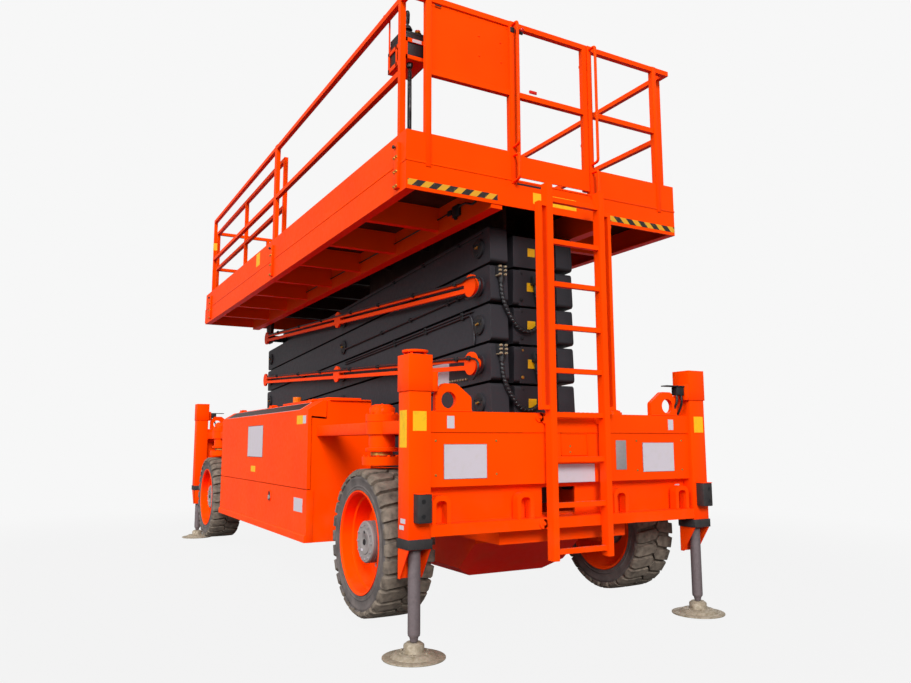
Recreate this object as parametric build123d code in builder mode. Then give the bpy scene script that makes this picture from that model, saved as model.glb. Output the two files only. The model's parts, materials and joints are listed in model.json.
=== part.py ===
"""Large rough-terrain scissor lift, standing lowered on its four outrigger pads.

Millimetres, +Z up, X across the machine, Y along it. The ladder end faces -Y.
The origin lies on the floor, at the middle of the machine's footprint.
"""
from build123d import *
import math
import os

os.makedirs("parts", exist_ok=True)

# ---------------------------------------------------------------- driving sizes
body_width = 2500.0
body_length = 6830.0
ladder_reach = 80.0            # ladder front face ahead of the end panels
pad_diameter = 380.0

running_gap = 0.3              # between a shaft and its bore, a shoe and its track

# outrigger columns and legs
column_side = 150.0
column_bottom = 630.0
column_top = 1800.0
cap_bottom = 1573.0
cap_lip = 7.0
gland_height = 60.0
leg_bore = 96.0
leg_rod_diameter = 76.0
leg_rod_top = 1130.0
hub_diameter = 125.0
hub_top = 105.0
pad_thickness = 10.0
pad_dome_diameter = 280.0
pad_dome_top = 34.0
guard_bottom = 450.0
guard_plate = 6.0
collar_bottom = 630.0
collar_top = 691.0
collar_wall = 7.0

# end panels
panel_top = 1456.0
top_beam_bottom = 1325.0
panel_bottom = 990.0
low_beam_top = 770.0
low_beam_bottom = 699.0
panel_setback = 24.0
panel_depth = 130.0
recess_depth = 100.0
sheet = 12.0
lug_thickness = 36.0
lug_top = 1630.0
lug_hole_z = 1525.0
lug_hole_diameter = 105.0
lug_hole_x = (-960.0, 900.0)
lug_reach = 95.0               # from the hole to the lug's outboard edge
lug_slope = 165.0              # from the hole to the lug's inboard edge
hoop_x = (-1020.0, -400.0, 410.0, 1000.0)
hoop_width = 116.0
hoop_top = 930.0
hoop_bar = 22.0
window_width = 280.0
window_height = 185.0
buffer_size = (87.0, 72.0, 168.0)
buffer_bottom = 765.0

# ladder
ladder_width = 500.0
ladder_rail = (46.0, 70.0)
ladder_bottom = 500.0
ladder_top = 3035.0
rung_first = 555.0
rung_pitch = 296.0
rung_count = 9
rung_size = (34.0, 34.0)
handrail_gap = 40.0
handrail_size = (26.0, 46.0)
handrail_bottom = 1475.0
handrail_top = 2895.0

# chassis
rail_inner = 385.0
rail_width = 150.0
rail_bottom = 600.0
rail_top = 900.0
cross_depth = 180.0
track_web = 12.0
track_end = 3200.0
track_start = 480.0
belly_half_width = 330.0
belly_shoulder = 470.0
belly_bottom = 285.0
belly_chamfer_top = 360.0
belly_length = 1150.0

# wheels and steering
axle_inset = 840.0             # from the end of the body to the axle
wheel_centre_z = 584.0
tyre_diameter = 1000.0
tyre_width = 360.0
tyre_outer_x = 1237.0
rim_diameter = 640.0
rim_wall = 14.0
rim_dish = 120.0
rim_lip = 8.0
bead_inset = 22.0
hub_radius = 122.0
knuckle_gap = 6.0
kingpin_diameter = 120.0
kingpin_housing = 230.0
kingpin_top = 1600.0
carrier_top = 1440.0
carrier_bottom = 1320.0
carrier_width = 210.0
knuckle_plate_bottom = 1105.0
knuckle_plate_top = 1165.0
knuckle_leg = 80.0
flange_diameter = 280.0

# side cabinets
cabinet_near = 2117.0
cabinet_far = 5390.0
cabinet_outer = 1180.0
cabinet_inner = 600.0
cabinet_bottom = 434.0
cover_seam = 868.0
shoulder_bottom = 1545.0
shoulder_top = 1625.0
shoulder_run = 130.0
cabinet_sheet = 25.0
cover_thickness = 30.0
cover_gap = 6.0

# scissor stack
level_count = 6
pin_span = 5590.0
level_pitch = 290.0
lowest_pin_z = 965.0
near_pin = 620.0               # near pins behind the front of the body
arm_depth = 270.0
arm_overrun = 155.0            # arm past its end pins
outer_arm_outer = 374.0
outer_arm_width = 150.0
inner_arm_half = 175.0
inner_wall = 55.0
end_block = 420.0
arm_corner = 26.0
shaft_diameter = 90.0
disc_diameter = 150.0
disc_thickness = 14.0
lug_plate = 40.0
slider_box = (340.0, 300.0, 235.0)

# hose carriers on the left of the stack
carrier_gap = 12.0
carrier_bar = 22.0
carrier_plate = 170.0
carrier_bar_height = 34.0
carrier_bar_offset = 31.0

# platform
deck_front = 171.0
deck_back = 6650.0
deck_width = 2400.0
deck_bottom = 2908.0
channel_top = 3110.0
channel_flange = 70.0
channel_wall = 8.0
floor_thickness = 20.0
deck_beam_x = 450.0
deck_beam_width = 90.0
toe_top = 3315.0
toe_bottom = 3165.0
toe_plate = 8.0
rail_height = 4310.0
mid_rail_z = 3758.0
rail_tube = 40.0
guide_plate_x = 185.0
guide_plate = 25.0

# ---------------------------------------------------------------- derived places
front = -body_length / 2                         # front face of the near columns
back = body_length / 2
near_pin_y = front + near_pin
far_pin_y = near_pin_y + pin_span
stack_middle = (near_pin_y + far_pin_y) / 2
arm_pins = math.hypot(pin_span, level_pitch)
arm_angle = math.degrees(math.atan2(level_pitch, pin_span))
axle_y = {"near": front + axle_inset, "far": back - axle_inset}
kingpin_x = tyre_outer_x - tyre_width / 2
column_x = (body_width - column_side) / 2
column_y = {"near": front + column_side / 2, "far": back - column_side / 2}
side_sign = {"left": -1, "right": 1}
end_sign = {"near": -1, "far": 1}
corners = [(end, side) for end in ("near", "far") for side in ("left", "right")]
deck_front_y = front + deck_front
deck_back_y = front + deck_back


def pin_z(level):
    """Height of the pins between level and level + 1, lowered."""
    return lowest_pin_z + level * level_pitch


def block(x, y, z, mode=Mode.ADD):
    """Box between three (low, high) pairs, added to the part being built."""
    spans = [sorted(pair) for pair in (x, y, z)]
    with Locations(tuple((low + high) / 2 for low, high in spans)):
        Box(*(high - low for low, high in spans), mode=mode)


def prism_x(points, x0, x1, mode=Mode.ADD):
    """Outline of (y, z) points, extruded across the machine from x0 to x1."""
    with BuildSketch(Plane.YZ.offset(min(x0, x1))) as outline:
        with BuildLine():
            Polyline(*points, close=True)
        make_face()
    extrude(outline.sketch, abs(x1 - x0), mode=mode)


def prism_y(points, y0, y1, mode=Mode.ADD):
    """Outline of (x, z) points, extruded along the machine from y0 to y1."""
    with BuildSketch(Plane.XZ.offset(-min(y0, y1))) as outline:
        with BuildLine():
            Polyline(*points, close=True)
        make_face()
    extrude(outline.sketch, -abs(y1 - y0), mode=mode)


def rod_x(y, z, x0, x1, diameter, mode=Mode.ADD):
    """Round bar or bore across the machine."""
    with BuildSketch(Plane.YZ.offset(min(x0, x1))) as disc:
        with Locations((y, z)):
            Circle(diameter / 2)
    extrude(disc.sketch, abs(x1 - x0), mode=mode)


def rod_z(x, y, z0, z1, diameter, mode=Mode.ADD):
    """Upright round bar or bore."""
    with BuildSketch(Plane.XY.offset(min(z0, z1))) as disc:
        with Locations((x, y)):
            Circle(diameter / 2)
    extrude(disc.sketch, abs(z1 - z0), mode=mode)


def save(builder, name):
    """Label a finished piece and write it."""
    builder.part.label = name
    export_step(builder.part, f"parts/{name}.step")


# ---------------------------------------------------------------- chassis
with BuildPart() as chassis_frame:
    for sign in (-1, 1):
        rail_x = (sign * rail_inner, sign * (rail_inner + rail_width))
        block(rail_x, (front + panel_depth, back - panel_depth), (rail_bottom, rail_top))
        # inward-facing track for the sliding shoes of the lowest inner arm
        web_x = sign * (rail_inner + 42.0)
        shoe_top = lowest_pin_z + (lowest_pin_z - rail_top) + running_gap
        block((web_x, web_x + sign * track_web), (front + track_start, front + track_end),
              (rail_top, shoe_top + track_web))
        block((sign * rail_inner, web_x), (front + track_start, front + track_end),
              (shoe_top, shoe_top + track_web))
        # lug of the fixed far pin
        lug_x = (sign * rail_inner, sign * (rail_inner + lug_plate))
        prism_x([(far_pin_y - 190, rail_top), (far_pin_y + 170, rail_top),
                 (far_pin_y + 75, lowest_pin_z + 80), (far_pin_y - 75, lowest_pin_z + 80)], *lug_x)
        # outriggers that carry the side cabinets
        for place in (cabinet_near + 300, (cabinet_near + cabinet_far) / 2, cabinet_far - 300):
            block((sign * (rail_inner + rail_width), sign * cabinet_inner),
                  (front + place - 60, front + place + 60), (rail_bottom + 40, rail_top - 60))
    for place in (panel_depth + 60, 1500, 2700, 4130, 5330, body_length - panel_depth - 60):
        block((-rail_inner, rail_inner), (front + place - 60, front + place + 60),
              (rail_bottom, rail_bottom + cross_depth))
    # belly housings under the frame at both axles
    for end in ("near", "far"):
        tip = axle_y[end] + end_sign[end] * 300
        root = axle_y[end] - end_sign[end] * (belly_length - 300)
        prism_y([(-belly_shoulder, rail_bottom), (-belly_shoulder, belly_chamfer_top),
                 (-belly_half_width, belly_bottom), (belly_half_width, belly_bottom),
                 (belly_shoulder, belly_chamfer_top), (belly_shoulder, rail_bottom)], tip, root)
        # raked nose
        nose = tip + end_sign[end] * 1.0
        prism_x([(nose, belly_bottom - 1), (tip - end_sign[end] * 330, belly_bottom - 1), (nose, rail_bottom - 40)],
                -belly_shoulder - 1, belly_shoulder + 1, mode=Mode.SUBTRACT)
    for sign in (-1, 1):
        rod_x(far_pin_y, lowest_pin_z, sign * rail_inner, sign * (rail_inner + lug_plate),
              shaft_diameter + 2 * running_gap, mode=Mode.SUBTRACT)
save(chassis_frame, "chassis_frame")


def carrier_beams(end):
    """Outer beams at one end that hold the two kingpin housings."""
    y_axle = axle_y[end]
    y_column = column_y[end] - end_sign[end] * column_side / 2
    y_cabinet = front + (cabinet_near if end == "near" else cabinet_far)
    for sign in (-1, 1):
        beam_x = (sign * (kingpin_x - carrier_width / 2), sign * (kingpin_x + 45))
        block(beam_x, (y_column, y_cabinet), (carrier_bottom, carrier_top))
        # arm across to the chassis rail, with its gusset leg
        block((sign * (rail_inner + rail_width - 60), sign * kingpin_x),
              (y_axle - 110, y_axle + 110), (carrier_bottom, carrier_top))
        block((sign * (rail_inner + 60), sign * (rail_inner + rail_width)),
              (y_axle - 110, y_axle + 110), (rail_top, carrier_top))
        rod_z(sign * kingpin_x, y_axle, knuckle_plate_top + knuckle_gap, kingpin_top - 30, kingpin_housing)
        rod_z(sign * kingpin_x, y_axle, kingpin_top - 30, kingpin_top, kingpin_housing - 60)
        rod_z(sign * kingpin_x, y_axle, knuckle_plate_top + knuckle_gap,
              knuckle_plate_top + knuckle_gap + 30, flange_diameter)
        rod_z(sign * kingpin_x, y_axle, knuckle_plate_top, kingpin_top - 60,
              kingpin_diameter + 2 * running_gap, mode=Mode.SUBTRACT)


with BuildPart() as axle_near:
    carrier_beams("near")
save(axle_near, "axle_near")

with BuildPart() as axle_far:
    carrier_beams("far")
save(axle_far, "axle_far")


# ---------------------------------------------------------------- end panels
def end_panel(end):
    """Folded end wall between two columns, with lifting lugs and lashing hoops."""
    face = front if end == "near" else back
    inward = -end_sign[end]
    half = body_width / 2 - column_side
    wall = [(panel_setback, panel_top), (panel_setback, top_beam_bottom),
            (panel_setback + 8, top_beam_bottom), (panel_setback + 8, panel_bottom),
            (recess_depth, panel_bottom), (recess_depth, low_beam_top), (0, low_beam_top),
            (0, low_beam_bottom), (panel_depth, low_beam_bottom), (panel_depth, low_beam_top),
            (recess_depth + sheet, low_beam_top + 1), (recess_depth + sheet, panel_bottom + sheet),
            (panel_setback + 8 + sheet, panel_bottom + sheet),
            (panel_setback + 8 + sheet, top_beam_bottom), (panel_depth, top_beam_bottom),
            (panel_depth, panel_top)]
    prism_x([(face + inward * depth, z) for depth, z in wall], -half, half)
    # opening in the lower web behind the ladder
    block((-window_width * 0.75, window_width * 0.25),
          (face + inward * (recess_depth - 20), face + inward * (recess_depth + 40)),
          (low_beam_top + 6, low_beam_top + 6 + window_height), mode=Mode.SUBTRACT)
    for hole_x in lug_hole_x:
        outboard = math.copysign(1, hole_x)
        lug_y = face + inward * (panel_setback + 6)
        with BuildSketch(Plane.XZ.offset(-lug_y)) as lug:
            with BuildLine():
                Polyline((hole_x + outboard * lug_reach, panel_top - 20),
                         (hole_x + outboard * lug_reach, lug_hole_z + 40),
                         (hole_x + outboard * 40, lug_top),
                         (hole_x - outboard * 55, lug_top),
                         (hole_x - outboard * lug_slope, lug_hole_z + 22),
                         (hole_x - outboard * lug_slope, panel_top - 20), close=True)
            make_face()
            fillet(lug_corners(outline=lug, low=lug_hole_z), 30)
            with Locations((hole_x, lug_hole_z)):
                Circle(lug_hole_diameter / 2, mode=Mode.SUBTRACT)
        extrude(lug.sketch, -inward * lug_thickness)
    for x in hoop_x:
        with BuildSketch(Plane.XZ.offset(-(face + inward * 30))) as hoop:
            with Locations((x, (low_beam_top + hoop_top) / 2)):
                Rectangle(hoop_width, hoop_top - low_beam_top)
                top_corners = hoop.vertices().group_by(Axis.Y)[-1]
                fillet(top_corners, hoop_width / 2 - 12)
            with Locations((x, (low_beam_top + hoop_top - hoop_bar) / 2)):
                Rectangle(hoop_width - 2 * hoop_bar, hoop_top - hoop_bar - low_beam_top, mode=Mode.SUBTRACT)
        extrude(hoop.sketch, -inward * hoop_bar)


def lug_corners(outline, low):
    """Upper corners of a lifting lug's outline."""
    return [corner for corner in outline.vertices() if corner.Y > low]


with BuildPart() as end_panel_near:
    end_panel("near")
save(end_panel_near, "end_panel_near")

with BuildPart() as end_panel_far:
    end_panel("far")
save(end_panel_far, "end_panel_far")

# ---------------------------------------------------------------- columns
with BuildPart() as leg_columns:
    for end, side in corners:
        x, y = side_sign[side] * column_x, column_y[end]
        half = column_side / 2
        block((x - half, x + half), (y - half, y + half), (column_bottom, cap_bottom))
        block((x - half - cap_lip, x + half + cap_lip), (y - half - cap_lip, y + half + cap_lip),
              (cap_bottom, column_top))
        rod_z(x, y, column_top, column_top + 16, 96)
        rod_z(x, y, column_top + 16, column_top + 30, 140)
        # guard around the rod: a back plate and two cheeks cut on the slant
        back_edge = -end_sign[end]
        block((x - half, x + half), (y + back_edge * (half - guard_plate), y + back_edge * half),
              (guard_bottom, column_bottom))
        for cheek in (-1, 1):
            prism_x([(y + back_edge * half, guard_bottom), (y + back_edge * half, column_bottom),
                     (y - back_edge * half, column_bottom), (y + back_edge * (half - 30), guard_bottom)],
                    x + cheek * half, x + cheek * (half - guard_plate))
        # gland at the foot, wider bore above it
        rod_z(x, y, column_bottom, column_bottom + gland_height, leg_rod_diameter + 2 * running_gap,
              mode=Mode.SUBTRACT)
        rod_z(x, y, column_bottom + gland_height, column_top - 60, leg_bore, mode=Mode.SUBTRACT)
save(leg_columns, "leg_columns")

with BuildPart() as rubber_fittings:
    for end, side in corners:
        x, y = side_sign[side] * column_x, column_y[end]
        outer = column_side / 2 + collar_wall
        inner = column_side / 2
        block((x - outer, x + outer), (y - outer, y + outer), (collar_bottom, collar_top))
        block((x - inner, x + inner), (y - inner, y + inner), (collar_bottom, collar_top), mode=Mode.SUBTRACT)
        outer_face = y + end_sign[end] * column_side / 2
        block((x - buffer_size[0] / 2, x + buffer_size[0] / 2),
              (outer_face, outer_face + end_sign[end] * buffer_size[1]),
              (buffer_bottom, buffer_bottom + buffer_size[2]))
save(rubber_fittings, "rubber_fittings")

# ---------------------------------------------------------------- ladder
with BuildPart() as ladder:
    ladder_front = front - ladder_reach
    for sign in (-1, 1):
        inner = sign * (ladder_width / 2 - ladder_rail[0])
        block((inner, sign * ladder_width / 2), (ladder_front, ladder_front + ladder_rail[1]),
              (ladder_bottom, ladder_top))
        outer = sign * (ladder_width / 2 + handrail_gap)
        block((outer, outer + sign * handrail_size[0]),
              (ladder_front + 10, ladder_front + 10 + handrail_size[1]), (handrail_bottom, handrail_top))
        for z in (handrail_bottom, handrail_top - 30):
            block((sign * ladder_width / 2, outer), (ladder_front + 10, ladder_front + 10 + handrail_size[1]),
                  (z, z + 30))
        # stand-offs to the end panel
        for z in (low_beam_bottom + 10, panel_top - 70):
            block((inner, sign * ladder_width / 2), (ladder_front + ladder_rail[1], front + panel_setback),
                  (z, z + 50))
    for step in range(rung_count):
        z = rung_first + step * rung_pitch
        block((-ladder_width / 2 + ladder_rail[0], ladder_width / 2 - ladder_rail[0]),
              (ladder_front + 16, ladder_front + 16 + rung_size[0]), (z - rung_size[1] / 2, z + rung_size[1] / 2))
    block((-ladder_width / 2 - 1, ladder_width / 2 + 1), (front, front + panel_setback + 10),
          (low_beam_bottom, low_beam_top), mode=Mode.SUBTRACT)
save(ladder, "ladder")

# ---------------------------------------------------------------- side cabinets
cover_pivot = (cabinet_outer - shoulder_run - 10, shoulder_top + 14)
hinge_places = (cabinet_near + 350, (cabinet_near + cabinet_far) / 2, cabinet_far - 350)
hinge_length = 90.0
hinge_pin = 12.0
hinge_barrel = 22.0
mouth_depth = 160.0


def cabinet(side):
    """Open-sided cabinet: floor, lower side, end walls, back and top."""
    sign = side_sign[side]
    y0, y1 = front + cabinet_near, front + cabinet_far
    top_inner = cabinet_outer - shoulder_run - 40
    outline = [(cabinet_inner, cabinet_bottom), (cabinet_outer, cabinet_bottom),
               (cabinet_outer, shoulder_bottom), (cabinet_outer - shoulder_run, shoulder_top),
               (cabinet_inner, shoulder_top)]
    prism_y([(sign * x, z) for x, z in outline], y0, y1)
    block((sign * (cabinet_inner + cabinet_sheet), sign * (cabinet_outer - cabinet_sheet)),
          (y0 + cabinet_sheet, y1 - cabinet_sheet), (cabinet_bottom + cabinet_sheet, shoulder_top - cabinet_sheet),
          mode=Mode.SUBTRACT)
    # mouth that the cover closes: upper side and shoulder
    mouth = [(cabinet_outer + 1, cover_seam), (cabinet_outer + 1, shoulder_top + 1),
             (top_inner, shoulder_top + 1), (top_inner, shoulder_top - mouth_depth),
             (cabinet_outer - cover_thickness - cover_gap, shoulder_bottom - 70),
             (cabinet_outer - cover_thickness - cover_gap, cover_seam)]
    prism_y([(sign * x, z) for x, z in mouth], y0 - 1, y1 + 1, mode=Mode.SUBTRACT)
    # hinge ears and pins on the edge of the top
    for place in hinge_places:
        y = front + place
        ear = [(top_inner - 30, shoulder_top - 5), (top_inner, shoulder_top - 5), (top_inner, shoulder_top + 6),
               (cover_pivot[0] + 8, shoulder_top + 6), (cover_pivot[0] + 8, cover_pivot[1] + 14),
               (top_inner - 10, cover_pivot[1] + 14)]
        for end in (-1, 1):
            prism_y([(sign * x, z) for x, z in ear], y + end * hinge_length / 2, y + end * (hinge_length / 2 + 10))
        with BuildSketch(Plane.XZ.offset(-(y - hinge_length / 2))) as pin:
            with Locations((sign * cover_pivot[0], cover_pivot[1])):
                Circle(hinge_pin / 2)
        extrude(pin.sketch, -hinge_length)


def cover(side):
    """Folded cover: upright side and slanted shoulder up to the hinge."""
    sign = side_sign[side]
    y0, y1 = front + cabinet_near, front + cabinet_far
    t = cover_thickness
    top_inner = cabinet_outer - shoulder_run - 40 + cover_gap
    outline = [(cabinet_outer, cover_seam + cover_gap), (cabinet_outer, shoulder_bottom),
               (cabinet_outer - shoulder_run, shoulder_top), (top_inner, shoulder_top),
               (top_inner, shoulder_top - t), (cabinet_outer - shoulder_run - 8, shoulder_top - t),
               (cabinet_outer - t, shoulder_bottom - 16), (cabinet_outer - t, cover_seam + cover_gap)]
    prism_y([(sign * x, z) for x, z in outline], y0, y1)
    # end plates that close the cover's ends
    cheek = [(cabinet_outer, cover_seam + cover_gap), (cabinet_outer, shoulder_bottom),
             (cabinet_outer - shoulder_run, shoulder_top), (top_inner, shoulder_top),
             (top_inner, shoulder_top - mouth_depth + 16), (cabinet_outer - t, shoulder_bottom - 54),
             (cabinet_outer - t, cover_seam + cover_gap)]
    for start in (y0, y1 - cabinet_sheet):
        prism_y([(sign * x, z) for x, z in cheek], start, start + cabinet_sheet)
    # hinge barrels around the cabinet's pins
    for place in hinge_places:
        y = front + place
        length = hinge_length - 2 * running_gap
        with BuildSketch(Plane.XZ.offset(-(y - length / 2))) as barrel:
            with Locations((sign * cover_pivot[0], cover_pivot[1])):
                Circle(hinge_barrel / 2)
            with BuildLine():
                Polyline((sign * (cover_pivot[0] - 8), shoulder_top - 5), (sign * (cover_pivot[0] + 34), shoulder_top - 25),
                         (sign * (cover_pivot[0] + 10), cover_pivot[1] + 4), (sign * (cover_pivot[0] - 8), cover_pivot[1]),
                         close=True)
            make_face()
            with Locations((sign * cover_pivot[0], cover_pivot[1])):
                Circle(hinge_pin / 2 + running_gap, mode=Mode.SUBTRACT)
        extrude(barrel.sketch, -length)


with BuildPart() as cabinet_left:
    cabinet("left")
save(cabinet_left, "cabinet_left")

with BuildPart() as cabinet_right:
    cabinet("right")
save(cabinet_right, "cabinet_right")

with BuildPart() as cover_left:
    cover("left")
save(cover_left, "cover_left")

with BuildPart() as cover_right:
    cover("right")
save(cover_right, "cover_right")

with BuildPart() as engine_block:
    block((cabinet_inner + cabinet_sheet, cabinet_inner + cabinet_sheet + 430),
          (front + cabinet_near + 500, front + cabinet_near + 1700),
          (cabinet_bottom + cabinet_sheet, cabinet_bottom + cabinet_sheet + 700))
save(engine_block, "engine_block")

with BuildPart() as tank_block:
    block((-cabinet_inner - cabinet_sheet - 400, -cabinet_inner - cabinet_sheet),
          (front + cabinet_near + 400, front + cabinet_near + 1600),
          (cabinet_bottom + cabinet_sheet, cabinet_bottom + cabinet_sheet + 600))
save(tank_block, "tank_block")

with BuildPart() as beacon:
    rod_z(-cabinet_inner - 120, front + 3900, shoulder_top, shoulder_top + 30, 110)
    rod_z(-cabinet_inner - 120, front + 3900, shoulder_top + 30, shoulder_top + 130, 90)
save(beacon, "beacon")


# ---------------------------------------------------------------- running gear
def tyre(end, side):
    """Tyre ring out to the tips of its tread."""
    sign, y = side_sign[side], axle_y[end]
    x_in, x_out = tyre_outer_x - tyre_width, tyre_outer_x
    radius, seat = tyre_diameter / 2, rim_diameter / 2
    profile = [(x_in + bead_inset, seat), (x_in + bead_inset, seat + rim_lip), (x_in, seat + 60),
               (x_in, radius - 70), (x_in + 45, radius), (x_out - 45, radius), (x_out, radius - 70),
               (x_out, seat + 60), (x_out - bead_inset, seat + rim_lip), (x_out - bead_inset, seat)]
    axis = Axis((0, y, wheel_centre_z), (1, 0, 0))
    with BuildSketch(Plane.XZ.offset(-y)) as ring:
        with BuildLine():
            Polyline(*[(sign * x, wheel_centre_z + r) for x, r in profile], close=True)
        make_face()
    revolve(ring.sketch, axis=axis)


def wheel(end, side):
    """Dished rim with its planetary drive hub."""
    sign, y = side_sign[side], axle_y[end]
    x_in, x_out = tyre_outer_x - tyre_width, tyre_outer_x
    seat = rim_diameter / 2
    dish = x_out - rim_dish
    profile = [(x_in + bead_inset, seat - rim_wall), (x_in + bead_inset, seat), (x_out - bead_inset, seat),
               (x_out - bead_inset, seat + rim_lip - 2), (x_out - 8, seat + rim_lip - 2),
               (x_out - 8, seat - rim_wall), (x_out - 30, seat - rim_wall - 4),
               (dish + 20, seat - 46), (dish - 60, seat - 60), (dish - 90, hub_radius), (dish, hub_radius),
               (dish + 28, hub_radius - 26), (dish + 28, 0), (dish - 150, 0), (dish - 150, hub_radius - 6),
               (dish - 120, hub_radius + 30), (dish - 80, seat - 60 - rim_wall)]
    axis = Axis((0, y, wheel_centre_z), (1, 0, 0))
    with BuildSketch(Plane.XZ.offset(-y)) as ring:
        with BuildLine():
            Polyline(*[(sign * x, wheel_centre_z + r) for x, r in profile], close=True)
        make_face()
    revolve(ring.sketch, axis=axis)


def knuckle(end, side):
    """Steered carrier: kingpin, plate over the tyre and leg down to the hub."""
    sign, y = side_sign[side], axle_y[end]
    rod_z(sign * kingpin_x, y, knuckle_plate_top, kingpin_top - 70, kingpin_diameter)
    rod_z(sign * kingpin_x, y, knuckle_plate_bottom, knuckle_plate_top, flange_diameter)
    leg_outer = tyre_outer_x - tyre_width - knuckle_gap
    leg_inner = leg_outer - knuckle_leg
    block((sign * leg_inner, sign * kingpin_x), (y - 110, y + 110),
          (knuckle_plate_bottom, knuckle_plate_top))
    block((sign * leg_inner, sign * leg_outer), (y - 110, y + 110), (wheel_centre_z - 110, knuckle_plate_top))
    hub_face = tyre_outer_x - rim_dish - 150 - running_gap
    rod_x(y, wheel_centre_z, sign * leg_inner, sign * hub_face, 2 * hub_radius - 60)


for end, side in corners:
    with BuildPart() as tyre_piece:
        tyre(end, side)
    save(tyre_piece, f"tyre_{end}_{side}")
    with BuildPart() as wheel_piece:
        wheel(end, side)
    save(wheel_piece, f"wheel_{end}_{side}")
    with BuildPart() as knuckle_piece:
        knuckle(end, side)
    save(knuckle_piece, f"knuckle_{end}_{side}")

# ---------------------------------------------------------------- outrigger legs
for end, side in corners:
    leg_x, leg_y = side_sign[side] * column_x, column_y[end]
    with BuildPart() as leg:
        with BuildSketch(Plane.XZ.offset(-leg_y)) as half_section:
            with BuildLine():
                Polyline((leg_x, 0), (leg_x + pad_diameter / 2, 0),
                         (leg_x + pad_diameter / 2, pad_thickness),
                         (leg_x + pad_dome_diameter / 2, pad_thickness + 4),
                         (leg_x + pad_dome_diameter / 2 - 25, pad_dome_top),
                         (leg_x + hub_diameter / 2, pad_dome_top + 6),
                         (leg_x + hub_diameter / 2, hub_top - 20),
                         (leg_x + hub_diameter / 2 - 20, hub_top),
                         (leg_x + leg_rod_diameter / 2 - 8, hub_top + 8),
                         (leg_x + leg_rod_diameter / 2 - 8, hub_top + 40),
                         (leg_x + leg_rod_diameter / 2, hub_top + 70),
                         (leg_x + leg_rod_diameter / 2, leg_rod_top), (leg_x, leg_rod_top), close=True)
            make_face()
        revolve(half_section.sketch, axis=Axis((leg_x, leg_y, 0), (0, 0, 1)))
    save(leg, f"leg_{end}_{side}")


# ---------------------------------------------------------------- scissor stack
def arm_plane(near_level, far_level, x):
    """Plane whose x axis runs along an arm from its near pin, at height x across."""
    rise = pin_z(far_level) - pin_z(near_level)
    along = Vector(0, pin_span, rise).normalized()
    return Plane(origin=(x, near_pin_y, pin_z(near_level)), x_dir=along, z_dir=(1, 0, 0))


def beam(near_level, far_level, x0, x1):
    """One box beam along an arm, its long edges chamfered."""
    low, high = min(x0, x1), max(x0, x1)
    with BuildSketch(arm_plane(near_level, far_level, low)) as side_view:
        with Locations((arm_pins / 2, 0)):
            Rectangle(arm_pins + 2 * arm_overrun, arm_depth)
        fillet(side_view.vertices(), arm_corner)
    extrude(side_view.sketch, high - low)


def bores(near_level, far_level, x0, x1, which=(0, 1, 2)):
    """Pin bores through a beam at the chosen stations."""
    z0, z1 = pin_z(near_level), pin_z(far_level)
    places = [(near_pin_y, z0), (stack_middle, (z0 + z1) / 2), (far_pin_y, z1)]
    for station in which:
        y, z = places[station]
        rod_x(y, z, x0, x1, shaft_diameter + 2 * running_gap, mode=Mode.SUBTRACT)


disc_face = outer_arm_outer + running_gap
pin_end = disc_face + disc_thickness
lug_reach_x = rail_inner + lug_plate
for level in range(1, level_count + 1):
    with BuildPart() as outer_arm:
        for sign in (-1, 1):
            inner_x, outer_x = sign * (outer_arm_outer - outer_arm_width), sign * outer_arm_outer
            beam(level, level - 1, inner_x, outer_x)
            fixed_station = {1: 2, level_count: 0}.get(level)
            bores(level, level - 1, inner_x, outer_x,
                  [station for station in (0, 1, 2) if station != fixed_station])
        if level == 1:
            rod_x(far_pin_y, pin_z(0), -lug_reach_x, lug_reach_x, shaft_diameter)
        if level == level_count:
            rod_x(near_pin_y, pin_z(level), -pin_end, pin_end, shaft_diameter)
            half_x, half_y = slider_box[0] / 2, slider_box[1] / 2
            block((-half_x, half_x), (near_pin_y - arm_overrun, near_pin_y + half_y),
                  (pin_z(level) - slider_box[2] / 2 - 25, pin_z(level) + slider_box[2] / 2 - 25))
            for sign in (-1, 1):
                rod_x(near_pin_y, pin_z(level), sign * (outer_arm_outer - 1), sign * pin_end, disc_diameter)
    save(outer_arm, f"outer_arm_{level}")

    with BuildPart() as inner_arm:
        for sign in (-1, 1):
            beam(level - 1, level, sign * (inner_arm_half - inner_wall), sign * inner_arm_half)
        # closed ends and a cross tube at the centre join the two walls
        with BuildSketch(arm_plane(level - 1, level, -inner_arm_half + inner_wall)) as ends:
            with Locations((end_block / 2 - arm_overrun, 0), (arm_pins + arm_overrun - end_block / 2, 0)):
                Rectangle(end_block, arm_depth)
        extrude(ends.sketch, 2 * (inner_arm_half - inner_wall))
        z0, z1 = pin_z(level - 1), pin_z(level)
        rod_x(stack_middle, (z0 + z1) / 2, -inner_arm_half, inner_arm_half, 140)
        near_end = lug_reach_x - running_gap if level == 1 else pin_end
        far_end = lug_reach_x if level == level_count else pin_end
        stations = [(near_pin_y, z0, near_end), (stack_middle, (z0 + z1) / 2, pin_end), (far_pin_y, z1, far_end)]
        for y, z, reach in stations:
            rod_x(y, z, -reach, reach, shaft_diameter)
            if reach == pin_end:
                for sign in (-1, 1):
                    rod_x(y, z, sign * disc_face, sign * pin_end, disc_diameter)
        if level == 1:
            for sign in (-1, 1):
                rod_x(near_pin_y, z0, sign * (rail_inner - 5), sign * (lug_reach_x - running_gap),
                      2 * (lowest_pin_z - rail_top - running_gap))
    save(inner_arm, f"inner_arm_{level}")

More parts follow.
